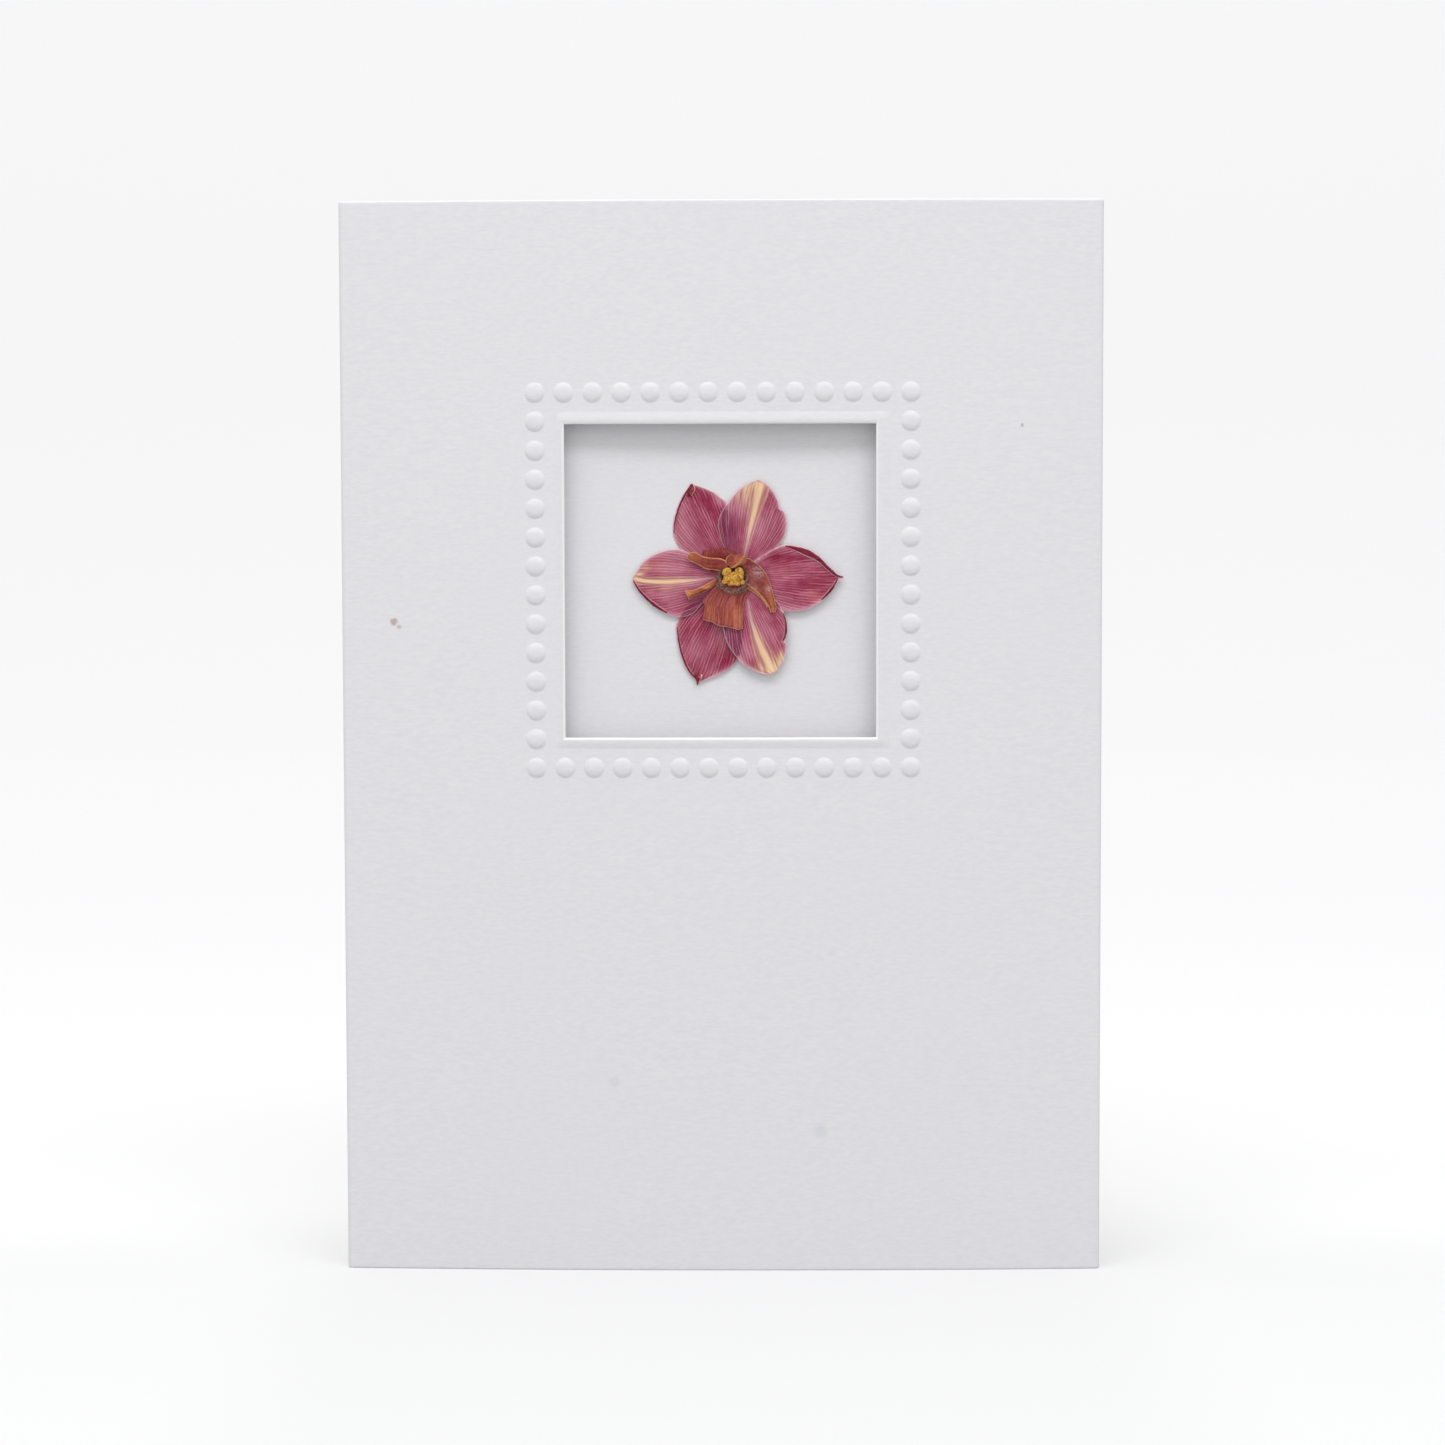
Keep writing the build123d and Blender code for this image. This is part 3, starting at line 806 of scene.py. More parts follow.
# edges run from each petal's root to its tip, and patches of colour are soft ovals
petals = {
    "upper_left": {
        "layer": 0, "length": 13.0, "seed": 1.0, "fan": (0.3, -0.6, 114.0),
        "deep": [(-5.9, 11.9, 1.7, 1.4, 1.0), (-3.3, 10.2, 1.6, 1.6, 0.6), (-2.0, 6.2, 1.4, 2.4, 0.5),
            (-4.6, 6.6, 1.0, 1.2, 0.35), (-1.5, 9.0, 1.0, 1.2, 0.4), (-2.4, 3.2, 1.4, 1.0, 0.5),
            (-4.5, 6.5, 4.0, 5.0, 0.14)],
        "pale": [(-6.6, 5.6, 1.6, 2.2, 0.5), (-4.6, 3.2, 1.6, 0.8, 0.3), (-1.6, 10.6, 0.9, 0.7, 0.6),
            (-7.1, 9.0, 0.6, 1.8, 0.6)],
        "edgeA": [(-0.9, 0.9), (-4.0, 1.9), (-7.0, 3.7), (-8.0, 5.0), (-8.3, 6.7), (-8.0, 8.6), (-7.2, 10.7),
            (-6.4, 12.0), (-5.95, 12.6)],
        "edgeB": [(-0.3, 1.1), (-0.4, 4.0), (-0.6, 7.0), (-1.0, 10.0), (-1.8, 10.8), (-2.8, 11.6), (-4.3, 12.25),
            (-5.8, 12.65)],
        "rims": [([(-8.25, 6.0), (-8.15, 7.4), (-7.72, 9.2), (-7.05, 10.8), (-6.45, 11.9)],
                  [(-8.2, 6.1), (-7.93, 7.5), (-7.46, 9.2), (-6.75, 10.7), (-6.15, 11.7)], 0.14),
                  ([(-6.3, 11.2), (-6.3, 11.9), (-6.05, 12.45), (-5.8, 12.8)],
                  [(-5.75, 11.1), (-5.3, 11.7), (-5.25, 12.2), (-5.6, 12.8)], 0.42)],
        "tipWarmAndHighlight": [(-5.85, 11.5, 0.22, 0.25, 0.5), (-5.6, 12.1, 0.2, 0.25, 0.5)],
    },
    "lower_left": {
        "layer": 0, "length": 14.0, "seed": 2.0, "fan": (0.4, 0.3, -111.0),
        "deep": [(-0.8, -11.2, 1.8, 1.8, 1.0), (-4.8, -13.2, 1.2, 1.3, 0.8), (-4.6, -5.2, 1.6, 1.2, 0.5),
            (-4.2, -7.2, 1.2, 2.0, 0.4), (-5.8, -9.0, 1.6, 3.0, 0.3), (-2.2, -10.6, 1.6, 2.0, 0.25),
            (0.2, -8.4, 1.0, 1.6, 0.45), (-6.6, -6.6, 1.0, 1.6, 0.35), (-4.0, -8.5, 4.5, 5.0, 0.12)],
        "pale": [(-5.0, -10.4, 1.6, 1.6, 0.4), (-1.6, -8.2, 1.0, 2.0, 0.35), (-2.6, -13.6, 1.2, 0.6, 0.5)],
        "edgeA": [(-0.9, -0.9), (-3.5, -2.4), (-6.2, -4.0), (-7.7, -6.2), (-7.85, -7.6), (-7.6, -9.5), (-7.1, -11.4),
            (-6.3, -13.1), (-5.3, -14.2), (-4.95, -14.6)],
        "edgeB": [(-0.1, -1.2), (0.8, -3.5), (1.3, -6.3), (1.2, -9.0), (0.6, -11.3), (-0.4, -12.5), (-1.8, -13.4),
            (-3.6, -14.1), (-4.8, -14.6)],
        "rims": [([(-7.85, -7.0), (-7.62, -9.2), (-7.15, -11.0), (-6.45, -12.7), (-5.5, -14.0)],
                  [(-7.7, -7.1), (-7.3, -9.3), (-6.85, -11.0), (-6.15, -12.6), (-5.3, -13.8)], 0.14),
                  ([(-5.5, -13.5), (-5.35, -14.1), (-5.15, -14.5), (-5.1, -15.0)],
                  [(-4.4, -13.5), (-4.3, -13.95), (-4.65, -14.4), (-4.85, -15.0)], 0.35)],
        "tipWarmAndHighlight": [(-4.55, -13.85, 0.3, 0.25, 1.0), (-5.0, -14.6, 0.2, 0.2, 0.6)],
    },
    "upper_right": {
        "layer": 1, "length": 13.0, "seed": 3.0, "fan": (0.5, -1.0, 76.0),
        "stripe": [(1.45, 2.6, 0.2), (2.0, 5.0, 0.32), (2.4, 7.0, 0.44), (3.1, 9.8, 0.64), (3.45, 11.6, 0.9),
            (3.55, 13.2, 1.2)],
        "veil": [(-0.3, 6.9, 0.9, 2.0, 0.9), (-0.1, 4.6, 0.8, 1.4, 0.6)],
        "deep": [(6.4, 5.6, 1.4, 1.8, 0.6), (-0.2, 5.8, 1.2, 2.6, 0.4), (5.6, 9.4, 1.2, 1.6, 0.5),
            (4.8, 3.8, 1.2, 0.9, 0.45)],
        "pale": [(0.6, 9.4, 1.3, 2.0, 0.65), (3.6, 6.6, 0.9, 2.2, 0.55), (5.2, 7.6, 1.4, 1.4, 0.35)],
        "cream": [(1.9, 12.5, 1.4, 0.8, 0.7), (3.6, 12.7, 0.9, 0.9, 0.8), (2.0, 10.6, 0.8, 1.6, 0.4),
            (0.9, 11.2, 0.9, 1.0, 0.45)],
        "edgeA": [(-0.1, 1.2), (-0.9, 3.3), (-1.6, 5.0), (-2.0, 6.9), (-1.8, 8.3), (-0.8, 10.0), (0.6, 11.7),
            (2.0, 12.7), (3.3, 13.25)],
        "edgeB": [(0.9, 1.0), (3.0, 2.1), (5.4, 3.6), (6.3, 4.5), (7.0, 5.7), (7.3, 7.4), (6.95, 8.8), (6.35, 9.3),
            (6.15, 10.2), (5.6, 11.4), (4.6, 12.6), (3.5, 13.25)],
    },
    "left": {
        "layer": 1, "length": 13.0, "seed": 4.0, "fan": (1.2, -0.1, 183.0),
        "stripe": [(-2.6, -0.15, 0.14), (-4.8, -0.42, 0.26), (-6.9, -0.6, 0.4), (-9.4, -0.75, 0.48),
            (-12.2, -0.6, 0.4), (-13.9, -0.2, 0.5)],
        "deep": [(-5.4, -4.2, 1.8, 1.2, 0.4), (-10.2, -3.6, 1.6, 0.8, 0.15), (-4.4, 1.2, 1.8, 0.8, 0.3)],
        "pale": [(-5.4, -1.2, 2.2, 0.7, 0.4), (-8.4, 1.0, 2.6, 1.0, 0.7), (-8.6, 3.0, 2.8, 0.8, 0.6),
            (-8.4, -2.6, 2.6, 1.2, 0.4)],
        "warm": [(-10.4, 1.6, 2.0, 0.9, 0.55)],
        "cream": [(-13.2, 0.5, 0.8, 0.6, 0.9), (-12.2, 1.3, 0.8, 0.45, 0.5), (-9.8, -1.7, 2.6, 0.28, 0.35)],
        "edgeA": [(-1.1, 0.5), (-3.6, 1.9), (-6.1, 3.2), (-7.5, 3.7), (-9.2, 3.6), (-11.1, 2.9), (-12.5, 1.9),
            (-13.3, 0.7), (-13.85, -0.1)],
        "edgeB": [(-1.1, -0.7), (-2.8, -2.2), (-4.4, -3.7), (-5.6, -5.0), (-7.3, -5.5), (-8.9, -5.2), (-10.8, -4.2),
            (-12.5, -2.6), (-13.6, -1.2), (-13.9, -0.3)],
        "rims": [([(-13.85, -0.5), (-13.3, -1.7), (-12.2, -3.0), (-10.8, -4.2), (-9.2, -5.1)],
                  [(-13.7, -0.5), (-12.95, -1.6), (-11.85, -2.75), (-10.5, -3.85), (-9.2, -4.75)], 0.16)],
    },
    "right": {
        "layer": 2, "length": 14.0, "seed": 5.0, "fan": (-1.2, 0.0, 0.0),
        "deep": [(5.5, 2.8, 1.4, 1.1, 0.9), (12.2, -0.6, 2.2, 1.4, 0.65), (8.8, -1.8, 2.2, 0.9, 0.5),
            (8.0, -3.0, 1.6, 0.7, 0.3), (13.8, 0.2, 1.0, 1.0, 0.7), (9.0, 2.6, 2.6, 1.0, 0.7)],
        "pale": [(6.0, -2.6, 1.6, 0.7, 0.2), (7.8, -4.3, 2.6, 0.4, 0.45)],
        "warm": [(6.8, 0.6, 2.4, 0.7, 0.25), (11.2, -2.9, 1.6, 0.7, 0.6)],
        "edgeA": [(1.0, 0.6), (3.0, 2.1), (5.4, 3.6), (7.3, 4.3), (9.6, 3.85), (11.5, 2.9), (13.0, 1.4), (14.2, 0.3),
            (14.6, 0.1), (15.15, -0.02)],
        "edgeB": [(1.1, -0.6), (3.5, -2.6), (5.0, -3.7), (6.3, -4.4), (7.7, -4.8), (10.1, -4.5), (12.0, -3.4),
            (13.4, -2.1), (14.2, -0.75), (14.55, -0.35), (15.15, -0.2)],
        "rims": [([(7.2, 4.3), (9.6, 3.9), (11.5, 2.95), (13.0, 1.5), (14.3, 0.3), (15.1, 0.0)],
                  [(7.3, 4.1), (9.5, 3.0), (11.6, 2.0), (12.9, 0.85), (14.1, -0.05), (15.0, -0.2)], 0.22),
                  ([(14.45, -0.3), (13.9, -1.5), (13.1, -2.5), (12.2, -3.3)],
                  [(14.2, -0.4), (13.4, -1.5), (12.75, -2.3), (12.1, -3.05)], 0.14)],
    },
    "lower_right": {
        "layer": 3, "length": 13.5, "seed": 6.0, "fan": (0.3, 0.8, -70.0),
        "stripe": [(2.0, -3.4, 0.2), (2.5, -6.2, 0.32), (3.25, -8.5, 0.56), (4.05, -10.4, 0.8), (4.95, -12.2, 0.95),
            (5.5, -13.3, 1.2)],
        "deep": [(6.6, -6.0, 0.9, 1.6, 0.5), (6.6, -10.4, 0.9, 1.4, 0.45), (0.4, -6.4, 1.4, 1.6, 0.35),
            (4.6, -4.0, 1.2, 0.8, 0.3)],
        "pale": [(4.2, -7.0, 1.0, 1.8, 0.45), (1.6, -10.4, 1.2, 1.4, 0.5), (5.4, -8.6, 0.8, 1.4, 0.35)],
        "cream": [(4.2, -12.8, 1.4, 0.7, 0.7), (6.0, -12.2, 0.8, 1.2, 0.8), (5.5, -13.1, 0.8, 0.6, 0.9),
            (6.6, -11.4, 0.35, 1.2, 0.7)],
        "edgeA": [(1.1, -0.7), (3.2, -1.7), (5.4, -3.0), (6.5, -4.3), (7.3, -6.4), (7.3, -7.8), (6.9, -8.9),
            (7.25, -9.4), (6.95, -11.2), (6.4, -12.4), (5.6, -13.3)],
        "edgeB": [(0.2, -1.3), (-0.6, -3.2), (-1.2, -5.3), (-1.3, -7.4), (-0.6, -9.5), (0.6, -11.2), (1.5, -12.2),
            (3.0, -13.0), (4.4, -13.4), (5.4, -13.35)],
        "rims": [([(6.9, -5.0), (7.35, -6.4), (7.35, -7.8), (6.95, -8.9)],
                  [(6.8, -5.1), (7.05, -6.4), (7.0, -7.7), (6.75, -8.7)], 0.16)],
    },
}


def outlineOf(petal):
    return curveThrough(petal["edgeA"], 40) + curveThrough(petal["edgeB"], 40)[::-1]


skinOfPetals = petalMaterial()
for name, petal in petals.items():
    petal["relief"] = petalRelief(petal["seed"])
    petal["margin"] = flower["margin"]
    petal["over"] = [outlineOf(other) for other in petals.values() if other["layer"] < petal["layer"]]
    # the warm spots on a curled tip are partly its colour, partly a painted highlight
    rims = [{"edgeA": outer, "edgeB": inner, "layer": petal["layer"] + flower["rimLayer"], "fan": petal["fan"],
             "relief": rolledRelief(arch), "warm": petal.get("tipWarmAndHighlight", ()), **flower["rim"]}
            for outer, inner, arch in petal.get("rims", ())]
    makePressed("petal_" + name, [petal, *rims], skinOfPetals, "petal", "petal_" + name, flower["thickness"])


def trumpetMaterial():
    # the dried cup: brown-red with fine radial streaks, thin pale orange rims and a few glossy patches whose whitish
    # colour is a painted reflection
    material, wire, shader = newMaterial("driedTrumpet", Specular_IOR_Level=0.15)
    along, across, edge, kind, atX, atY, deep, pale, warm, cream, veil = wire.attributes(
        "along across edge kind flowerX flowerY deep pale warm cream veil")
    spot = wire.vector(atX, atY, 0.0)
    streak = wire.cloud(wire.vector(across * 15.0, along * 1.6, kind * 7.0), 1.0, 4.0, 0.75)
    broad = wire.cloud(wire.vector(across * 4.0, along * 1.2, kind * 3.0), 1.0, 2.0, 0.6)
    grain = wire.cloud(spot, 4.5, 4.0, 0.65)
    mottle = wire.cloud(spot, 2.2, 4.0, 0.7)
    flecks = wire.cloud(spot, 3.0, 5.0, 0.75)
    # where the cup is glossy: a lower roughness, and a whitish colour that is a painted reflection
    glossAndPaintedSheen = (pale * 1.7 * flecks.eased(0.38, 0.6)).held() * 0.68
    skin = painted(
        wire.blend(streak.eased(0.4, 0.62), paint(130, 50, 50), paint(196, 108, 98)),
        (kind * 0.75, wire.blend(mottle.eased(0.38, 0.64), paint(112, 42, 36), paint(184, 90, 70))),
        ((warm * (streak + broad - 0.45) * 1.6).held(), (214, 128, 84)),
        ((cream * (0.4 + 1.0 * streak)).held(), (232, 166, 112)),
        ((deep * (0.5 + 0.9 * grain)).held(), (116, 22, 28)),
        (grain.eased(0.5, 0.75) * 0.3, (126, 52, 48)),
        (veil * 0.7, wire.blend(mottle.eased(0.4, 0.62), paint(110, 44, 48), paint(154, 80, 80))),
        (edge.eased(0.5, 0.25) * 0.3, (104, 34, 30)),
        ((edge.eased(0.19, 0.08) * (0.2 + 1.0 * grain)).held(), (236, 172, 122)),
        (glossAndPaintedSheen, (206, 172, 172)))
    feed(0.55 - glossAndPaintedSheen * 0.3, shader, "Roughness")
    surfaced(shader, skin, streak * 0.7 + grain * 0.5, 0.8, 0.00012)
    return material


def ribbed(seed, ribs, depth, arch=0.0, lift=0.0):
    # fine ribs along a strip of the cup, an arch across it, and a lift towards its end
    def relief(x, y, along, across):
        wobble = noise.noise(Vector((across * 3, along * 2, seed)))
        rib = math.sin(across * ribs + 2.2 * wobble)
        crumple = 0.07 * noise.noise(Vector((x * 1.6, y * 1.6, seed)))
        return depth * rib * easedStep(0.1, 0.5, along) + arch * (1 - across * across) + lift * along + crumple
    return relief


trumpet = [
    {"layer": 3.9, "kind": 0.3, "length": 0.9, "rimsOn": (0.0, 0.0, 0.0), "ragged": 0.3,
     "relief": ribbed(21.0, 9.0, 0.03, 0.0, -0.35), "deep": [(-1.8, 2.4, 2.6, 1.4, 1.0), (-2.9, 1.0, 0.8, 0.5, 0.9)],
     "edgeA": [(-1.9, 0.3), (-3.3, 1.0), (-4.2, 2.0), (-4.4, 3.1), (-4.0, 3.6)],
     "edgeB": [(-0.2, 0.9), (0.2, 1.9), (0.5, 2.8), (0.1, 3.5), (-0.6, 3.9)]},
    {"layer": 4.0, "kind": 0.0, "length": 6.5, "relief": ribbed(22.0, 26.0, 0.04, 0.1, 0.1), "grid": (64, 56),
     "rimsOn": (0.82, 0.9, 0.95),
     "warm": [(0.5, -5.2, 0.7, 1.6, 0.5), (-3.2, -5.0, 0.7, 1.2, 0.5), (-0.8, -5.6, 0.4, 1.2, 0.3)],
     "cream": [(0.1, -4.6, 0.15, 1.8, 0.3), (1.0, -5.8, 0.14, 1.0, 0.3)],
     "deep": [(0.0, -2.0, 2.8, 0.9, 0.55), (-2.6, -4.2, 0.8, 1.6, 0.15), (0.7, -3.6, 0.6, 1.0, 0.35)],
     "veil": [(-1.8, -2.6, 0.9, 1.0, 0.35), (-3.3, -4.0, 0.5, 1.4, 0.15)],
     "edgeA": [(-1.6, -0.5), (-2.5, -1.3), (-3.6, -2.5), (-4.25, -3.3), (-4.0, -4.0), (-4.05, -4.8), (-4.2, -5.85)],
     "edgeB": [(1.6, -0.7), (2.3, -1.9), (1.75, -2.6), (1.5, -3.4), (1.25, -5.2), (1.25, -6.4), (1.25, -7.15)],
     "end": [(-4.25, -5.85), (-3.6, -6.15), (-3.05, -6.2), (-2.3, -6.65), (-1.65, -6.85), (-0.9, -6.95),
         (-0.2, -7.1), (0.5, -7.35), (0.9, -7.3), (1.25, -7.15)]},
    {"layer": 4.5, "kind": 0.55, "length": 9.0, "relief": ribbed(23.0, 7.0, 0.03, 0.06, 0.0),
     "rimsOn": (0.93, 0.98, 1.0), "warm": [(5.3, -3.2, 0.5, 1.6, 0.6), (4.4, -1.0, 0.4, 1.4, 0.3)],
     "cream": [(3.4, -2.2, 0.3, 0.3, 0.3), (5.5, -4.6, 0.3, 0.4, 0.5)],
     "veil": [(3.0, 0.9, 1.2, 1.3, 1.0), (3.9, -0.9, 0.7, 0.9, 0.6)],
     "deep": [(2.0, 1.8, 0.8, 0.8, 0.6), (3.8, -1.0, 0.8, 0.9, 0.45)],
     # the pale patches mark where this lobe gets its painted reflection
     "pale": [(3.4, 0.6, 0.8, 0.8, 0.62), (4.85, -1.8, 0.35, 0.5, 1.0), (2.9, -1.6, 0.6, 0.4, 0.4)],
     "edgeA": [(1.0, 2.2), (1.9, 2.55), (3.1, 1.9), (4.2, 0.85), (5.1, -0.95), (5.6, -2.75), (5.9, -4.3),
         (5.75, -4.95)],
     "edgeB": [(0.9, 0.6), (1.5, 0.0), (1.7, -0.65), (2.5, -1.55), (3.7, -2.55), (4.4, -3.4), (4.9, -4.3),
         (5.15, -4.95)]},
    # a second thin fold along that strip's inner edge
    {"layer": 4.2, "kind": 0.6, "length": 5.0, "relief": ribbed(27.0, 4.0, 0.02, 0.1), "grid": (30, 10),
     "cream": [(3.2, -2.0, 2.0, 1.5, 0.4)],
     "edgeA": [(1.5, -0.3), (2.4, -1.3), (3.6, -2.3), (4.3, -3.2), (4.8, -4.2)],
     "edgeB": [(1.3, -0.9), (2.1, -1.8), (2.9, -2.3), (3.9, -3.2), (4.6, -4.3)]},
    {"layer": 4.7, "kind": 0.7, "length": 6.0, "relief": ribbed(24.0, 6.0, 0.03, 0.16, -0.25),
     "rimsOn": (1.0, 1.0, 1.0),
     "deep": [(-2.0, 1.9, 1.2, 0.5, 0.5), (-3.6, 2.0, 1.2, 0.4, 0.35), (-2.6, 1.0, 0.6, 0.3, 0.6)],
     "warm": [(-5.4, 2.7, 1.0, 0.8, 0.35)], "cream": [(-6.1, 2.9, 0.5, 0.4, 0.45)],
     "edgeA": [(-1.1, 0.6), (-1.9, 0.75), (-2.9, 0.95), (-3.65, 1.0), (-5.05, 1.75), (-6.0, 2.2), (-6.45, 2.55)],
     "edgeB": [(-0.7, 1.7), (-1.2, 2.3), (-2.0, 2.55), (-3.05, 2.6), (-4.25, 2.85), (-5.2, 3.35), (-5.9, 3.35),
         (-6.4, 2.95)]},
    # a small roll: the thin cream line along its upper side is a painted highlight
    {"layer": 4.2, "kind": 0.4, "length": 6.0, "relief": ribbed(25.0, 3.0, 0.05, 0.3, -0.15),
     "warm": [(-3.5, -1.2, 1.4, 0.5, 1.0), (-5.6, -2.1, 1.0, 0.6, 1.0)],
     "cream": [(-6.4, -2.4, 0.4, 0.8, 0.9), (-4.4, -1.45, 1.6, 0.16, 0.6)], "deep": [(-4.2, -2.0, 1.4, 0.3, 0.3)],
     "rimsOn": (0.97, 0.93, 1.0),
     "edgeA": [(-2.2, -0.1), (-3.45, -0.85), (-5.05, -1.65), (-5.9, -1.9), (-6.4, -1.75), (-6.7, -1.95)],
     "edgeB": [(-2.3, -0.9), (-3.2, -1.65), (-4.25, -2.25), (-5.4, -2.7), (-5.7, -3.05), (-6.15, -3.2)]},
    {"layer": 5.0, "kind": 0.2, "length": 2.0, "rimsOn": (1.0, 0.85, 0.8),
     "relief": ribbed(26.0, 8.0, 0.04, 0.15, 0.1), "grid": (40, 36), "warm": [(0.6, 2.2, 1.4, 0.7, 0.55)],
     "cream": [(0.3, 1.35, 0.9, 0.22, 0.4)], "deep": [(-0.5, 2.3, 0.7, 0.7, 0.6)],
     "edgeA": [(-0.35, 1.2), (-0.7, 1.6), (-1.15, 2.05), (-0.8, 2.8), (-0.2, 3.15)],
     "edgeB": [(0.3, 1.35), (1.2, 1.6), (1.9, 2.0), (1.6, 2.9), (0.9, 3.2)]},
    # the ridge where that lobe is folded: its pale orange is partly the fold's colour, partly a painted highlight
    # along the ridge
    {"layer": 5.6, "kind": 0.0, "length": 3.0, "relief": ribbed(28.0, 3.0, 0.02, 0.3), "grid": (30, 10),
     "cream": [(0.8, 2.2, 1.2, 1.0, 0.55)], "warm": [(0.6, 2.0, 2.0, 2.0, 0.8)],
     "edgeA": [(-0.3, 1.25), (0.3, 1.7), (0.9, 2.3), (1.4, 2.95)],
     "edgeB": [(0.1, 1.2), (0.7, 1.5), (1.35, 2.1), (1.75, 2.75)]},
]
makePressed("trumpetStrips", trumpet, trumpetMaterial(), "trumpet", "trumpet", flower["cupThickness"])


# grains and hairs are counted for a patch of 20 by 20 mm
patchArea = (20 * mm) ** 2
anthers = {
    # each pollen sac: place, half length, half width, turn in degrees
    "sacs": [(-0.92, 0.62, 0.7, 0.58, 40.0), (0.86, 0.68, 0.7, 0.56, -40.0), (-0.8, -0.1, 0.7, 0.58, 70.0),
             (0.8, -0.12, 0.7, 0.58, -70.0), (-1.15, -0.68, 0.5, 0.36, 20.0), (1.12, -0.74, 0.48, 0.36, -25.0),
             (0.0, -0.45, 0.8, 0.6, 0.0), (0.02, 0.2, 0.42, 0.5, 0.0), (-0.3, -0.95, 0.5, 0.32, 10.0),
             (0.45, -0.95, 0.5, 0.32, -10.0)],
    "height": 1.32, "thick": 0.3, "grainSize": 0.04, "grains": 9000.0, "seed": 4,
}


def pollenMaterial():
    material, wire, shader = newMaterial("pollen", Roughness=0.8)
    place = wire.place()
    grain = wire.cloud(place, 5200.0, 3.0, 0.6)
    broad = wire.cloud(place, 1400.0, 2.0)
    skin = painted(wire.blend(grain.eased(0.35, 0.65), paint(178, 116, 30), paint(238, 188, 84)),
                   (broad.eased(0.48, 0.7) * 0.7, (128, 68, 14)))
    surfaced(shader, skin, grain, 0.8, 0.00008)
    return material


def sacMesh():
    # the pollen sacs as one mesh of flattened, slightly lumpy balls, each with a groove along it
    points, faces = [], []
    rings, spokes = 10, 20
    for index, (x, y, long, wide, turn) in enumerate(anthers["sacs"]):
        angle = math.radians(turn)
        first = len(points)
        for ring in range(rings + 1):
            tilt = math.pi * ring / rings
            for spoke in range(spokes):
                spin = 2 * math.pi * spoke / spokes
                u, v, w = math.sin(tilt) * math.cos(spin), math.sin(tilt) * math.sin(spin), math.cos(tilt)
                lump = 1 + 0.12 * noise.noise(Vector((u * 2.5 + index, v * 2.5, w * 2.5)))
                groove = 1 - 0.3 * math.exp(-(v / 0.16) ** 2) * max(w, 0.0)
                px, py = u * long * lump, v * wide * lump
                points.append(onFlower(x + px * math.cos(angle) - py * math.sin(angle),
                                       y + px * math.sin(angle) + py * math.cos(angle),
                                       anthers["height"] + w * anthers["thick"] * groove))
        for ring in range(first, first + rings * spokes, spokes):
            for spoke in range(spokes):
                a, b = ring + spoke, ring + (spoke + 1) % spokes
                faces.append((a, a + spokes, b + spokes, b))
    return meshOf("pollenSacs", points, faces)


def scattered(wire, given):
    # scatters small balls, or fine tapering hairs where a hair length is given, over a mesh and keeps it
    seed = given["seed"]
    sockets = {
        "Points": wire.node("GeometryNodeDistributePointsOnFaces", None,
                            {"Mesh": given["Geometry"], "Density": given["density"], "Seed": seed}),
        "Scale": wire.node("FunctionNodeRandomValue", {"data_type": "FLOAT"}, {2: 0.5, 3: 1.2, "Seed": seed}, 1),
    }
    if "hairLength" in given:
        sockets["Instance"] = wire.node("GeometryNodeMeshCone", None, {
            "Vertices": 4, "Side Segments": 3, "Radius Top": given["size"] * 0.2, "Radius Bottom": given["size"],
            "Depth": given["hairLength"]})
        turn = wire.node("FunctionNodeRandomValue", {"data_type": "FLOAT_VECTOR"},
                         {0: (0.9, -0.7, 0.0), 1: (2.2, 0.7, 6.28), "Seed": seed})
        sockets["Rotation"] = wire.node("FunctionNodeEulerToRotation", None, {0: turn})
    else:
        sockets["Instance"] = wire.node("GeometryNodeMeshIcoSphere", None,
                                        {"Radius": given["size"], "Subdivisions": 1})
    strewn = wire.node("GeometryNodeInstanceOnPoints", None, sockets)
    real = wire.node("GeometryNodeRealizeInstances", None, {"Geometry": strewn})
    both = wire.node("GeometryNodeJoinGeometry", None, {"Geometry": real})
    wire.tree.links.new(given["Geometry"].socket, both.socket.node.inputs["Geometry"])
    return both


def scatterOn(mesh, name, inputs, slot, *nodes):
    source = placed(name + "Base", mesh)
    throughTree(source, name, inputs, scattered)
    finishPiece(source, name, slot, *nodes)


scatterOn(sacMesh(), "pollenSacs", {
    "material": pollenMaterial(), "size": anthers["grainSize"] * mm, "seed": anthers["seed"],
    "density": anthers["grains"] / patchArea}, "pollen", "anthers")


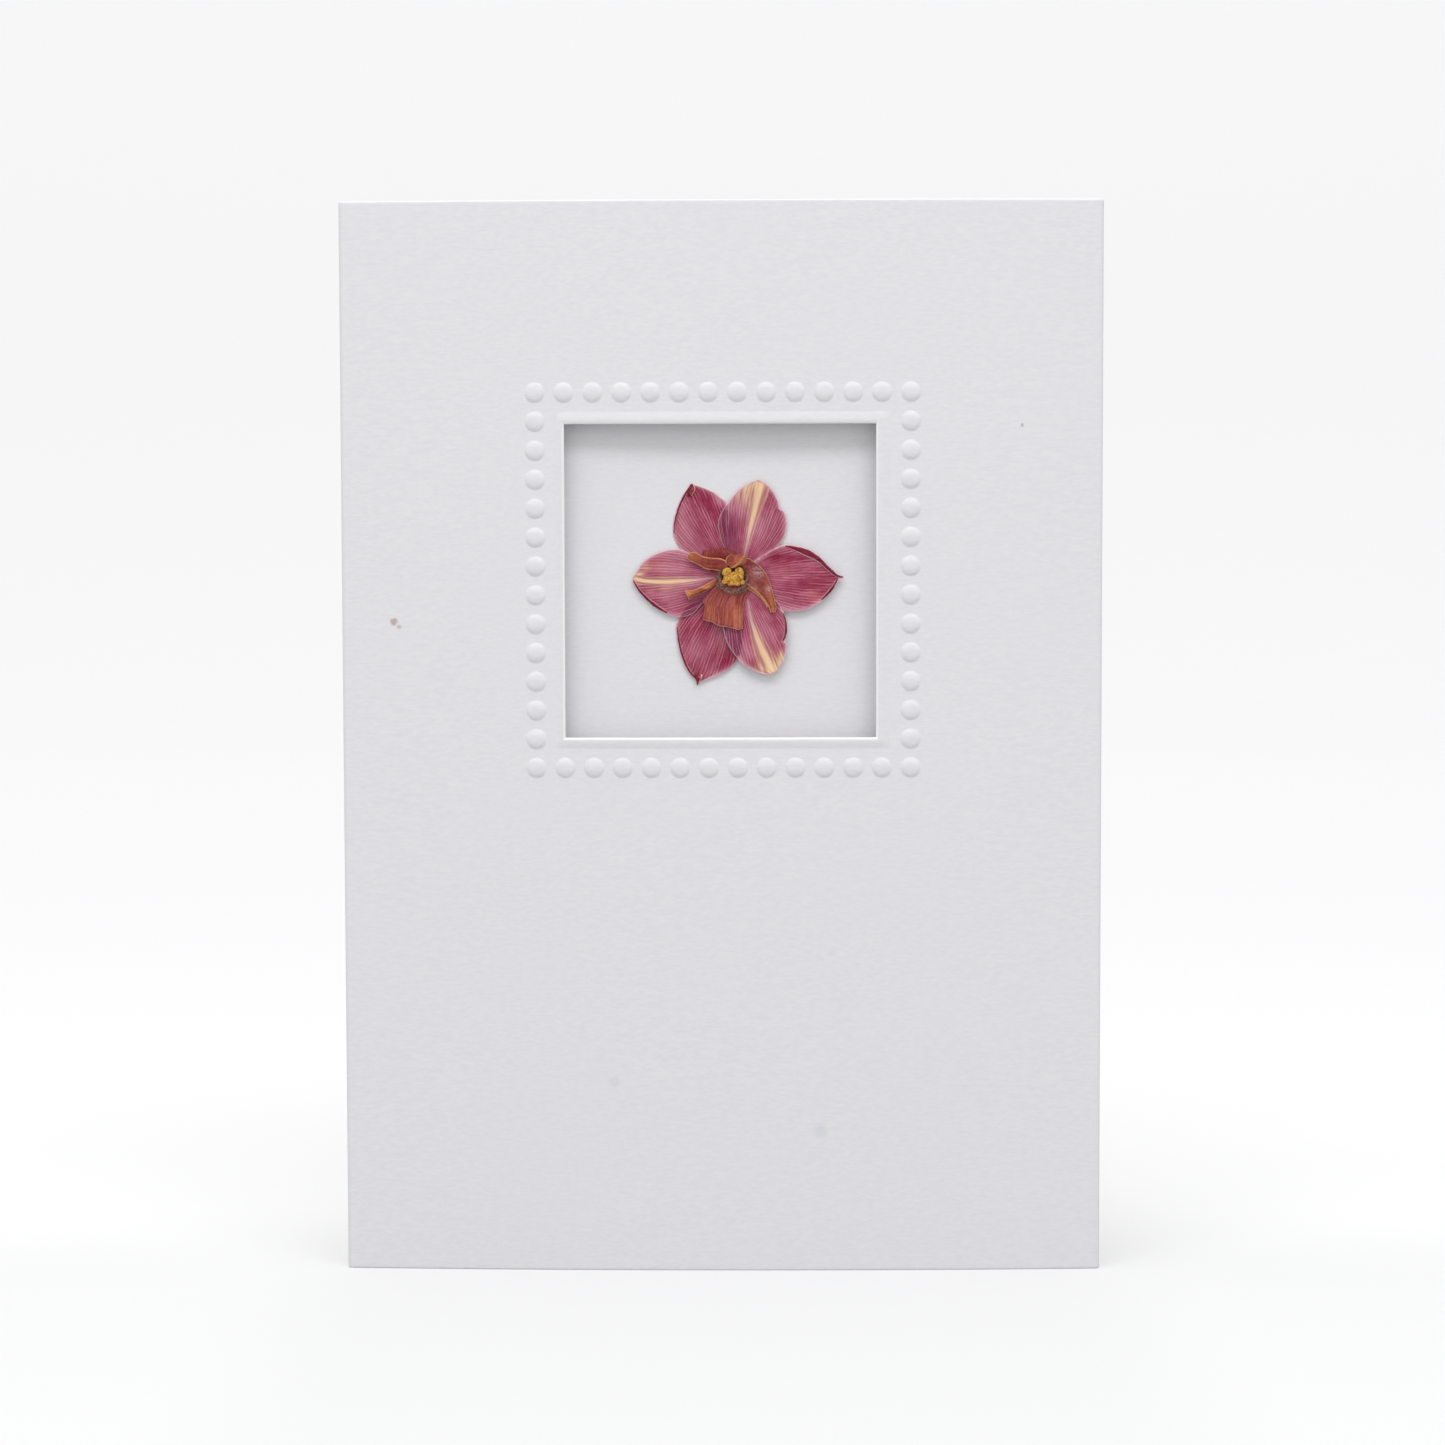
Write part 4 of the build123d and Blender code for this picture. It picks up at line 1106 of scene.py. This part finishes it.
crown = {
    # the dark woolly remains of the crown round the anthers: its two edges from the bottom up
    "left": [(-0.8, -2.55), (-1.9, -2.0), (-2.45, -1.2), (-2.4, -0.3), (-2.1, 0.5), (-1.7, 1.2), (-0.9, 1.5)],
    "right": [(1.0, -2.5), (2.0, -2.0), (2.45, -1.4), (2.1, -0.5), (1.9, 0.4), (1.6, 1.1), (0.9, 1.5)],
    "height": 1.08, "thickness": 0.1, "size": 0.016, "hairLength": 0.42, "hairs": 30000.0, "seed": 9, "grid": 40,
}


def woolMaterial():
    # near black beside the anthers, greyish brown with paler hairs further out
    material, wire, shader = newMaterial("crownWool", Roughness=0.85)
    place = wire.place()
    x, z = place.axes("XZ")
    grain = wire.cloud(place, 4800.0, 3.0, 0.7)
    away = (x - flower["x"] * mm).diagonal(z - (flower["z"] + 0.35) * mm)
    outer = (away + (grain - 0.5) * 0.6 * mm).eased(1.55 * mm, 2.0 * mm)
    tone = wire.blend(grain.eased(0.35, 0.65), paint(80, 38, 36), paint(170, 122, 110))
    surfaced(shader, wire.blend(outer, paint(66, 22, 10), tone), grain, 0.8, 0.00008)
    return material


def crownMesh():
    count = crown["grid"]
    points = []
    for (ax, ay), (bx, by) in zip(curveThrough(crown["left"], count), curveThrough(crown["right"], count)):
        for column in range(count):
            share = column / (count - 1)
            x, y = ax + (bx - ax) * share, ay + (by - ay) * share
            away = math.hypot(x, y + 0.1)
            height = crown["height"] + 0.16 * easedStep(1.3, 1.8, away) * (1 - easedStep(2.0, 2.6, away))
            height += 0.05 * noise.noise(Vector((x * 3, y * 3, 8.0)))
            points.append(onFlower(x, y, height))
    mesh = meshOf("crownWool", points, gridFaces(count, count))
    facingViewer(mesh)
    return mesh


crownSheet = placed("crownSheet", crownMesh())
thickened(crownSheet, crown["thickness"] * mm)
scatterOn(bakedMesh(crownSheet), "crownWool", {
    "material": woolMaterial(), "size": crown["size"] * mm, "hairLength": crown["hairLength"] * mm,
    "seed": crown["seed"], "density": crown["hairs"] / patchArea}, "trumpet")


def glueMaterial():
    material, wire, shader = newMaterial("driedGlue", Roughness=0.35)
    cloudy = wire.cloud(wire.place(), 1500.0)
    skin = wire.blend(cloudy.eased(0.3, 0.7), paint(214, 206, 184), paint(232, 228, 214))
    surfaced(shader, skin, cloudy, 0.3, 0.0001)
    return material


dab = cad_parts["glue_dab"]
dab.data.materials.clear()
dab.data.materials.append(glueMaterial())
